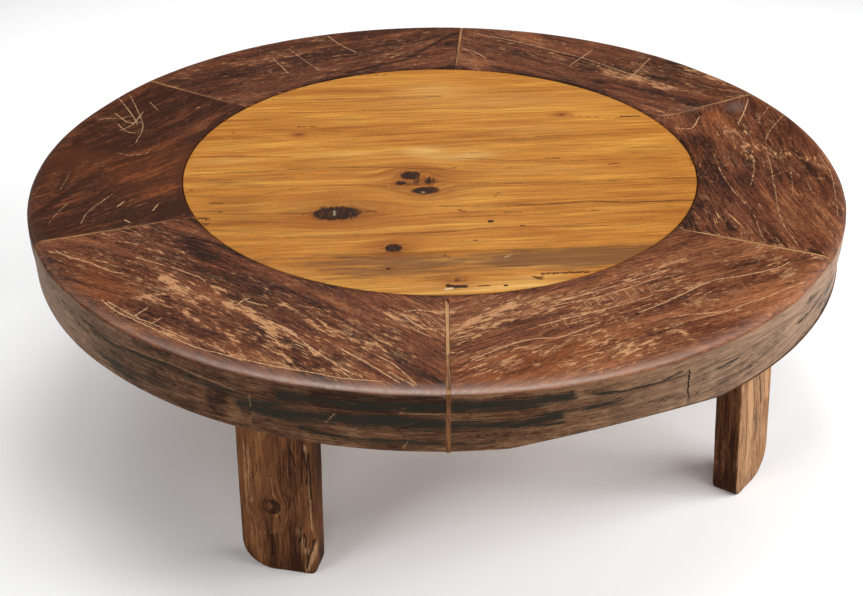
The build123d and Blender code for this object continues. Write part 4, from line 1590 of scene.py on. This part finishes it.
def linear(value):
    value /= 255
    return value / 12.92 if value <= 0.04045 else ((value + 0.055) / 1.055) ** 2.4


def colours(**seen):
    # Colours written as they are seen, 0 to 255.
    return {name: (*map(linear, colour), 1.0) for name, colour in seen.items()}


building = {}


def startTree(tree):
    # The nodes that follow go into this tree.
    tree.nodes.clear()
    building["tree"] = tree


def setInputs(node, inputs):
    for key, value in dict(inputs).items():
        if isinstance(value, bpy.types.NodeSocket):
            building["tree"].links.new(value, node.inputs[key])
        else:
            node.inputs[key].default_value = value


def addNode(kind, inputs=(), **settings):
    node = building["tree"].nodes.new(kind)
    for key, value in settings.items():
        setattr(node, key, value)
    setInputs(node, inputs)
    return node


def calculate(operation, *values, clamp=False):
    return addNode("ShaderNodeMath", enumerate(values), operation=operation, use_clamp=clamp).outputs[0]


def fade(value, low, high, start=0.0, end=1.0):
    inputs = {"Value": value, "From Min": low, "From Max": high, "To Min": start, "To Max": end}
    return addNode("ShaderNodeMapRange", inputs, interpolation_type="SMOOTHSTEP").outputs["Result"]


def multiply(*values):
    return calculate("MULTIPLY", *values)


def larger(*values):
    return calculate("MAXIMUM", *values)


def addScaled(value, other, factor):
    return calculate("MULTIPLY_ADD", other, factor, value)


def vary(value, noise, amount):
    # Adds a noise, less its mean of a half.
    return addScaled(calculate("SUBTRACT", value, amount / 2), noise, amount)


def blend(factor, first, second, mode="MIX"):
    inputs = {0: factor, 6: first, 7: second}
    return addNode("ShaderNodeMix", inputs, data_type="RGBA", blend_type=mode).outputs[2]


def changeVector(operation, vector, other):
    key = "Scale" if operation == "SCALE" else 1
    return addNode("ShaderNodeVectorMath", {0: vector, key: other}, operation=operation).outputs[0]


def stretchedNoise(vector, scale, detail=2.0, roughness=0.5):
    scaled = changeVector("MULTIPLY", vector, scale)
    inputs = {"Vector": scaled, "Scale": 1.0, "Detail": detail, "Roughness": roughness}
    return addNode("ShaderNodeTexNoise", inputs).outputs["Fac"]


def newGroup(name, inputs, outputs):
    # Inputs that have a starting value are plain numbers, and the others are vectors.
    tree = bpy.data.node_groups.new(name, "ShaderNodeTree")
    startTree(tree)
    for socket, value in inputs.items():
        kind = "NodeSocketVector" if value is None else "NodeSocketFloat"
        made = tree.interface.new_socket(socket, in_out="INPUT", socket_type=kind)
        if value is not None:
            made.default_value = value
    for socket in outputs:
        tree.interface.new_socket(socket, in_out="OUTPUT", socket_type="NodeSocketFloat")
    return tree, addNode("NodeGroupInput").outputs, addNode("NodeGroupOutput")


def useGroup(group, **inputs):
    return addNode("ShaderNodeGroup", inputs, node_tree=group).outputs


def makeWoodFigure():
    # Growth rings, fibres and pores that run along the grain.
    tree, given, result = newGroup(
        "woodFigure",
        {"Grain": None, "Ring": 0.0, "Spacing": 0.006, "Fibre": 1.0}, ["Rings", "Fibres", "Pores", "Height"],
    )
    warp = stretchedNoise(given["Grain"], (9, 90, 90), 3)
    shifted = addScaled(given["Ring"], warp, 0.003)
    phase = calculate("DIVIDE", shifted, given["Spacing"])
    share = calculate("FRACT", phase)
    rise = calculate("POWER", share, 2.4)
    fall = fade(share, 0.90, 1.0, 1, 0)
    whole = calculate("FLOOR", phase)
    pick = addNode("ShaderNodeTexWhiteNoise", {"W": whole}, noise_dimensions="1D").outputs["Value"]
    strength = calculate("MULTIPLY_ADD", pick, 0.7, 0.3)
    rings = multiply(multiply(rise, fall), strength)
    scaled = changeVector("SCALE", given["Grain"], given["Fibre"])
    fibres = stretchedNoise(scaled, (28, 900, 900), 4, 0.62)
    pores = fade(stretchedNoise(scaled, (55, 1500, 1500), 1), 0.62, 0.72)
    height = calculate("SUBTRACT", fibres, multiply(pores, 0.6))
    setInputs(result, {"Rings": rings, "Fibres": fibres, "Pores": pores, "Height": height})
    return tree


def makeAbrasion():
    # Worn patches, rubbed finish round them, thin scratches and flecks. A wear of 1 bares half the wood.
    tree, given, result = newGroup(
        "abrasion",
        {"Grain": None, "Wear": 0.0}, ["Patches", "Rubbed", "Scratches", "Flecks"],
    )
    coarse = stretchedNoise(given["Grain"], (36, 140, 140), 4, 0.62)
    streaks = stretchedNoise(given["Grain"], (75, 400, 400), 3, 0.62)
    mixed = addScaled(multiply(coarse, 0.8), streaks, 0.8)
    worn = addScaled(calculate("SUBTRACT", mixed, 0.8), given["Wear"], 0.19)
    lines = None
    for turn, seed in ((0.22, 0.0), (-0.18, 5.3), (0.04, 2.7)):
        inputs = {"Vector": given["Grain"], "Axis": (0, 0, 1), "Angle": turn}
        spun = addNode("ShaderNodeVectorRotate", inputs, rotation_type="AXIS_ANGLE").outputs[0]
        moved = changeVector("ADD", spun, (seed, seed, 0))
        thin = stretchedNoise(moved, (14, 420, 0.0), 1)
        limit = stretchedNoise(moved, (20, 60, 0.0), 3)
        near = calculate("ABSOLUTE", calculate("SUBTRACT", thin, 0.5))
        one = multiply(fade(near, 0.004, 0.020, 1, 0), fade(limit, 0.57, 0.63))
        lines = one if lines is None else larger(lines, one)
    specks = stretchedNoise(given["Grain"], (300, 700, 400), 2, 0.5)
    over = calculate("SUBTRACT", specks, addScaled(0.72, given["Wear"], -0.07))
    setInputs(result, {
        "Patches": fade(worn, 0.215, 0.240), "Rubbed": fade(worn, 0.05, 0.26),
        "Scratches": multiply(lines, fade(given["Wear"], -0.2, 0.9)),
        "Flecks": fade(over, 0.0, 0.03),
    })
    return tree


woodFigure = makeWoodFigure()
abrasion = makeAbrasion()


def newMaterial(name):
    material = bpy.data.materials.new(name)
    material.use_nodes = True
    startTree(material.node_tree)
    shader = addNode("ShaderNodeBsdfPrincipled")
    addNode("ShaderNodeOutputMaterial", {"Surface": shader.outputs[0]})
    return material, shader


def attribute(name, vector=False):
    node = addNode("ShaderNodeAttribute", attribute_name=name)
    return node.outputs["Vector" if vector else "Fac"]


def newWood(name, spacing, fibre=1.0):
    material, shader = newMaterial(name)
    grain = attribute("grain", True)
    ring = attribute("ring")
    figure = useGroup(woodFigure, Grain=grain, Ring=ring, Spacing=spacing, Fibre=fibre)
    return material, shader, grain, figure


def threeTones(level, firstSpan, secondSpan, first, second, third):
    # As the level rises, the first colour turns into the second and then into the third.
    colour = blend(fade(level, *firstSpan), first, second)
    return blend(fade(level, *secondSpan), colour, third)


def addFibres(colour, fibres, low, high, contrast):
    fibre = fade(fibres, low, high, 1 - contrast, 1 + contrast)
    tone = addNode("ShaderNodeCombineColor", {0: fibre, 1: fibre, 2: fibre}).outputs[0]
    return blend(1.0, colour, tone, "MULTIPLY")


def thinLine(gap, rough, widths, edge, strength):
    # A line whose width wanders between two values with a noise.
    away = calculate("DIVIDE", calculate("ABSOLUTE", gap), fade(rough, 0.35, 0.7, *widths))
    return fade(away, *edge, strength, 0)


def finishWood(shader, colour, roughness, height, bump, specular=0.03):
    # Bump is its strength and its depth.
    inputs = {"Strength": bump[0], "Distance": bump[1], "Height": height}
    normal = addNode("ShaderNodeBump", inputs).outputs[0]
    setInputs(shader, {
        "Base Color": colour, "Roughness": roughness, "Specular IOR Level": specular, "Normal": normal,
    })


def makeRimWood():
    # Among these, the pale lilac edge colour is a painted highlight.
    finish = colours(
        dark=(38, 20, 14), mid=(98, 54, 35), light=(150, 94, 60), late=(38, 21, 15), tan=(190, 140, 98),
        rubbed=(138, 88, 56), scratch=(212, 168, 124), black=(18, 13, 10), sheen=(190, 166, 153),
        orange=(146, 78, 38), grey=(132, 108, 98), sideDark=(48, 32, 23), sideMid=(88, 60, 42),
        sideLight=(124, 92, 66), sideGrey=(150, 121, 98), sidePale=(128, 94, 66), blackGreen=(36, 36, 30),
    )
    material, shader, grain, figure = newWood("rimWood", 0.0075)
    # The edge mask, with its pale lilac colour, paints a highlight where the side turns over into the top.
    side, warm, sheen = attribute("side"), attribute("warm"), attribute("sheen")
    marks = useGroup(abrasion, Grain=grain, Wear=attribute("wear"))
    cloud = stretchedNoise(grain, (16, 70, 70), 5, 0.65)
    streak = stretchedNoise(grain, (16, 360, 360), 5, 0.75)
    mottle = stretchedNoise(grain, (110, 260, 260), 4, 0.7)
    crisp = stretchedNoise(grain, (160, 900, 900), 2)
    wander = stretchedNoise(grain, (150, 220, 220), 2)

    # The stain, warmer or greyer in places, and weathered on the side, with painted light making the side
    # paler towards the right.
    level = addScaled(cloud, attribute("tint"), 0.30)
    level = vary(vary(level, streak, 1.6), mottle, 1.2)
    stain = finish["dark"], finish["mid"], finish["light"]
    colour = threeTones(level, (0.15, 0.60), (0.55, 1.05), *stain)
    orange = blend(fade(level, 0.1, 0.9, 0.25, 1.0), finish["dark"], finish["orange"])
    colour = blend(fade(warm, 0.0, 1.2, 0.0, 0.85), colour, orange)
    colour = blend(fade(warm, -1.0, 0.0, 0.6, 0.0), colour, finish["grey"])
    stain = finish["sideDark"], finish["sideMid"], finish["sideLight"]
    weathered = threeTones(level, (0.15, 0.55), (0.5, 0.95), *stain)
    # The side's grey mask: greyer on the left, and painted light that makes it paler towards the right.
    grey = multiply(attribute("grey"), fade(level, 0.1, 0.7, 0.45, 1.0))
    colour = blend(side, colour, blend(grey, weathered, finish["sideGrey"]))

    # Rings, fibres and pores, then the black bands of the side.
    colour = blend(multiply(figure["Rings"], 0.5), colour, finish["late"])
    colour = addFibres(colour, figure["Fibres"], 0.25, 0.75, 0.40)
    colour = blend(multiply(figure["Pores"], 0.5), colour, finish["black"])
    band = vary(vary(attribute("band"), streak, 2.4), mottle, 1.2)
    colour = blend(fade(band, 0.34, 0.62, 0.0, 0.95), colour, finish["blackGreen"])

    # A painted highlight on the turned-over edge, then wear, down to bare wood.
    paintedGlint = multiply(sheen, fade(mottle, 0.35, 0.65, 0.95, 0.6))
    colour = blend(paintedGlint, colour, finish["sheen"])
    colour = blend(multiply(marks["Rubbed"], 0.55), colour, finish["rubbed"])
    colour = blend(multiply(marks["Patches"], 0.85), colour, finish["tan"])

    # Scratches, light on the top and dark on the side.
    gap = vary(attribute("gap"), wander, 0.0016)
    hair = thinLine(gap, crisp, (0.0003, 0.0011), (0.6, 1.5), 1)
    onTop = calculate("SUBTRACT", 1.0, side)
    dark = multiply(attribute("dark"), larger(hair, onTop))
    hero = fade(vary(attribute("scratch"), crisp, 1.3), 0.35, 0.7)
    light = larger(marks["Scratches"], marks["Flecks"])
    light = larger(light, multiply(larger(hair, side), hero))
    light = multiply(light, fade(sheen, 0.0, 0.7, 1.0, 0.25))
    lightColour = blend(side, finish["scratch"], finish["sidePale"])
    colour = blend(multiply(light, 0.8), colour, lightColour)
    colour = blend(dark, colour, finish["black"])

    rough = addScaled(fade(cloud, 0.3, 0.7, 0.36, 0.5), marks["Patches"], 0.2)
    rough = addScaled(rough, sheen, -0.12)
    height = addScaled(addScaled(figure["Height"], light, -0.5), marks["Patches"], -0.4)
    calm = multiply(mottle, fade(sheen, 0.1, 0.6, 0.6, 0.1))
    finishWood(shader, colour, rough, calculate("ADD", calm, height), (0.5, 0.0008))
    return material


def makePanelPine():
    finish = colours(
        pale=(196, 139, 60), mid=(178, 115, 46), deep=(142, 84, 30), late=(112, 64, 26), knot=(15, 9, 6),
        halo=(120, 60, 22), grey=(98, 66, 42), bleached=(214, 170, 98), fleck=(226, 204, 166),
        line=(72, 38, 16), knotLight=(70, 36, 18), markBrown=(118, 66, 30),
    )
    material, shader, grain, figure = newWood("panelPine", 0.010, 0.4)
    dark, pale = attribute("dark"), attribute("pale")
    cloud = stretchedNoise(grain, (6, 40, 40), 3, 0.55)
    streak = stretchedNoise(grain, (16, 420, 420), 5, 0.8)
    mottle = stretchedNoise(grain, (140, 520, 520), 4, 0.8)
    smoky = stretchedNoise(grain, (12, 110, 110), 4, 0.7)
    crisp = stretchedNoise(grain, (60, 500, 500), 2)
    groove = stretchedNoise(grain, (7, 420, 420), 3, 0.6)
    ragged = stretchedNoise(grain, (150, 190, 190), 5, 0.75)
    grit = stretchedNoise(grain, (260, 260, 260), 3, 0.6)

    level = addScaled(cloud, attribute("tint"), 0.28)
    level = vary(vary(level, streak, 0.7), mottle, 0.9)
    wood = finish["pale"], finish["mid"], finish["deep"]
    colour = threeTones(level, (0.15, 0.55), (0.5, 1.0), *wood)
    colour = blend(multiply(figure["Rings"], 0.5), colour, finish["late"])
    greyer = vary(attribute("grey"), smoky, 3.0)
    colour = blend(fade(greyer, 0.1, 1.2, 0.0, 0.8), colour, finish["grey"])
    colour = blend(fade(pale, 0.0, 1.0, 0.0, 0.7), colour, finish["bleached"])
    colour = blend(fade(pale, -1.0, 0.0, 0.7, 0.0), colour, finish["deep"])
    colour = addFibres(colour, figure["Fibres"], 0.25, 0.75, 0.28)
    colour = blend(fade(groove, 0.63, 0.70, 0.0, 0.5), colour, finish["late"])
    halo = multiply(attribute("halo"), fade(crisp, 0.25, 0.6, 0.35, 0.8))
    colour = blend(halo, colour, finish["halo"])

    hair = thinLine(attribute("gap"), crisp, (0.0006, 0.0020), (0.6, 1.6), 1.6)
    line = larger(attribute("line"), multiply(attribute("hair"), hair))
    line = calculate("MULTIPLY", line, fade(streak, 0.35, 0.6, 0.3, 1.0), clamp=True)
    colour = blend(line, colour, finish["line"])

    knot = addScaled(calculate("SUBTRACT", dark, 1.0), ragged, 1.9)
    knot = fade(knot, 0.24, 0.44, 0.0, 0.94)
    inside = blend(fade(grit, 0.50, 0.64), finish["knot"], finish["knotLight"])
    inside = blend(fade(dark, 0.30, 0.60), finish["markBrown"], inside)
    colour = blend(knot, colour, inside)
    colour = blend(attribute("fleck"), colour, finish["fleck"])
    rough = fade(cloud, 0.3, 0.7, 0.38, 0.46)
    finishWood(shader, colour, rough, addScaled(figure["Height"], dark, -0.6), (0.25, 0.0005))
    return material


def makePlainWood():
    finish = colours(dark=(128, 92, 56), light=(172, 132, 86), late=(108, 74, 44))
    material, shader, grain, figure = newWood("battenWood", 0.008)
    cloud = stretchedNoise(grain, (14, 70, 70), 4, 0.6)
    level = addScaled(cloud, attribute("tint"), 0.4)
    colour = blend(fade(level, 0.25, 0.85), finish["dark"], finish["light"])
    colour = blend(multiply(figure["Rings"], 0.6), colour, finish["late"])
    colour = addFibres(colour, figure["Fibres"], 0.3, 0.7, 0.18)
    rough = fade(cloud, 0.3, 0.7, 0.5, 0.65)
    finishWood(shader, colour, rough, figure["Height"], (0.3, 0.0005), 0.15)
    return material


def makeStripWood():
    finish = colours(dark=(84, 54, 37), light=(128, 86, 56), bare=(196, 152, 106), bareDark=(156, 112, 72))
    material, shader, grain, figure = newWood("stripWood", 0.004)
    streak = stretchedNoise(grain, (30, 500, 60), 4, 0.7)
    level = addScaled(streak, attribute("tint"), 0.25)
    colour = blend(fade(level, 0.3, 0.75), finish["dark"], finish["light"])
    bare = vary(attribute("bare"), streak, 0.9)
    bright = blend(fade(figure["Fibres"], 0.35, 0.65), finish["bareDark"], finish["bare"])
    colour = blend(fade(bare, 0.22, 0.62, 0.0, 0.95), colour, bright)
    finishWood(shader, colour, 0.5, figure["Height"], (0.3, 0.0005))
    return material


def makeLegWood():
    finish = colours(
        dark=(54, 31, 20), mid=(104, 66, 41), light=(142, 96, 58), late=(44, 26, 17), pale=(172, 132, 96),
        black=(22, 15, 11),
    )
    material, shader, grain, figure = newWood("legWood", 0.005)
    cloud = stretchedNoise(grain, (14, 70, 70), 4, 0.6)
    streak = stretchedNoise(grain, (16, 420, 420), 5, 0.75)
    mottle = stretchedNoise(grain, (90, 400, 400), 4, 0.7)
    level = addScaled(cloud, attribute("tint"), 0.35)
    level = vary(vary(level, streak, 1.3), mottle, 0.6)
    stain = finish["dark"], finish["mid"], finish["light"]
    colour = threeTones(level, (0.15, 0.60), (0.55, 1.05), *stain)
    colour = blend(multiply(figure["Rings"], 0.55), colour, finish["late"])
    pale = vary(vary(attribute("pale"), streak, 1.6), mottle, 0.8)
    colour = blend(fade(pale, 0.15, 0.8, 0.0, 0.9), colour, finish["pale"])
    colour = addFibres(colour, figure["Fibres"], 0.25, 0.75, 0.34)
    hair = thinLine(attribute("gap"), streak, (0.0004, 0.0016), (0.5, 1.6), 1.3)
    knots = attribute("dark")
    dark = vary(larger(knots, multiply(attribute("hair"), hair)), mottle, 0.8)
    colour = blend(fade(dark, 0.2, 0.9, 0.0, 0.85), colour, finish["black"])
    rough = fade(cloud, 0.3, 0.7, 0.45, 0.6)
    finishWood(shader, colour, rough, addScaled(figure["Height"], knots, -0.8), (0.5, 0.0007))
    return material


def makeScrewSteel():
    finish = colours(bright=(150, 148, 142), dull=(104, 84, 66))
    material, shader = newMaterial("screwSteel")
    spots = addNode("ShaderNodeTexNoise", {"Scale": 900.0, "Detail": 3.0}).outputs["Fac"]
    setInputs(shader, {
        "Metallic": 1.0, "Roughness": fade(spots, 0.35, 0.65, 0.35, 0.6),
        "Base Color": blend(fade(spots, 0.4, 0.6), finish["bright"], finish["dull"]),
    })
    return material


# Putting it together.

rimWood = makeRimWood()
panelPine = makePanelPine()
legWood = makeLegWood()
battenWood = makePlainWood()
stripWood = makeStripWood()
screwSteel = makeScrewSteel()

places = screwPlaces()
upper = buildUpperFelloes(rimWood)
print("upper felloes", [len(piece.data.polygons) for piece in upper])
lower = buildLowerFelloes(rimWood)
cutMortises(lower)
cutTailSlot(lower[0])
strips = buildStrips(stripWood)
boards = buildBoards(panelPine)
print("boards", [len(piece.data.polygons) for piece in boards])
battenPieces = buildBattens(battenWood)
boreHoles(lower, places, ["rim_screws", "ledge_screws"])
boreHoles(battenPieces, places, ["batten_screws"])
legPieces = buildLegs(legWood, battenWood)
screwPieces = buildScrews(screwSteel, places)
print("pieces shaped")

for number, (piece, (start, end)) in enumerate(zip(upper, felloeEnds(upperFelloes["joints"])), 1):
    writeFields(piece, rimFields(number, (start[1] + end[1]) / 2, 0))
for number, (piece, (start, end)) in enumerate(zip(lower, felloeEnds(lowerFelloes["joints"])), 1):
    writeFields(piece, rimFields(number, (start + end) / 2, 1))
for number, piece in enumerate(boards, 1):
    writeFields(piece, panelFields(number))
for number, piece in enumerate(strips, 1):
    writeFields(piece, stripFields(number))
for number, piece in enumerate(battenPieces, 1):
    writeFields(piece, plainFields(lambda p: (toPanel(p)[:, 1], toPanel(p)[:, 0], p[:, 2]), 7 + number))
for number, (name, piece) in enumerate(zip(legs, legPieces[::2]), 1):
    writeFields(piece, legFields(name, 17 + number))
for piece in legPieces[1::2]:
    writeFields(piece, plainFields(lambda p: (p[:, 2], p[:, 0], p[:, 1]), 27))
print("surfaces painted")


def buildCamera():
    right, up, forward = cameraAxes()
    data = bpy.data.cameras.new("camera")
    data.lens, data.sensor_width, data.sensor_fit = view["lens"], view["sensor"], "HORIZONTAL"
    camera = bpy.data.objects.new("camera", data)
    bpy.context.scene.collection.objects.link(camera)
    turn = Matrix((right, up, -forward)).transposed().to_4x4()
    camera.matrix_world = Matrix.Translation(view["place"]) @ turn
    bpy.context.scene.camera = camera


studio = {
    # Soft boxes: direction from the table, height above it in degrees, and power.
    "boxes": [
        (0, 20, 60), (345, 25, 17), (330, 30, 12), (0, 90, 20), (135, 50, 22), (90, 50, 28), (225, 20, 29),
        (270, 20, 18), (315, 50, 17),
    ],
    "distance": 3.0,
    "size": 1.3,
    "aim": (0, 0, 0.2),
    "dome": 0.04,  # strength of the light from all round
    "floor": (0.80, 0.80, 0.80, 1.0),
    "floorSeen": (1.0, 1.0, 1.0, 1.0),
    "floorReach": 12,
}


def buildStudio():
    world = bpy.data.worlds.new("studio")
    bpy.context.scene.world = world
    world.use_nodes = True
    startTree(world.node_tree)
    path = addNode("ShaderNodeLightPath")
    seen = calculate("MAXIMUM", path.outputs["Is Camera Ray"], path.outputs["Is Transmission Ray"])
    strength = calculate("MULTIPLY_ADD", seen, 1 - studio["dome"], studio["dome"])
    background = addNode("ShaderNodeBackground", {"Color": (1, 1, 1, 1), "Strength": strength})
    addNode("ShaderNodeOutputWorld", {0: background.outputs[0]})

    for azimuth, height, power in studio["boxes"]:
        lamp = bpy.data.lights.new("softBox", "AREA")
        lamp.shape, lamp.size, lamp.energy = "SQUARE", studio["size"], power
        box = bpy.data.objects.new("softBox", lamp)
        bpy.context.scene.collection.objects.link(box)
        rise = math.radians(height)
        out = onCircle(studio["distance"] * math.cos(rise), azimuth)
        box.location = (out[0], out[1], studio["distance"] * math.sin(rise))
        aim = Vector(studio["aim"]) - box.location
        box.rotation_euler = aim.to_track_quat("-Z", "Y").to_euler()

    reach = studio["floorReach"]
    corners = [(-reach, -reach, 0), (reach, -reach, 0), (reach, reach, 0), (-reach, reach, 0)]
    floor = newObject("floor", corners, [(0, 1, 2, 3)])
    material = bpy.data.materials.new("floor")
    material.use_nodes = True
    startTree(material.node_tree)
    path = addNode("ShaderNodeLightPath")
    colour = blend(path.outputs["Is Camera Ray"], studio["floor"], studio["floorSeen"])
    surface = addNode("ShaderNodeBsdfDiffuse", {"Color": colour})
    addNode("ShaderNodeOutputMaterial", {"Surface": surface.outputs[0]})
    floor.data.materials.append(material)


buildCamera()
buildStudio()
bpy.context.scene.view_settings.view_transform = "Standard"
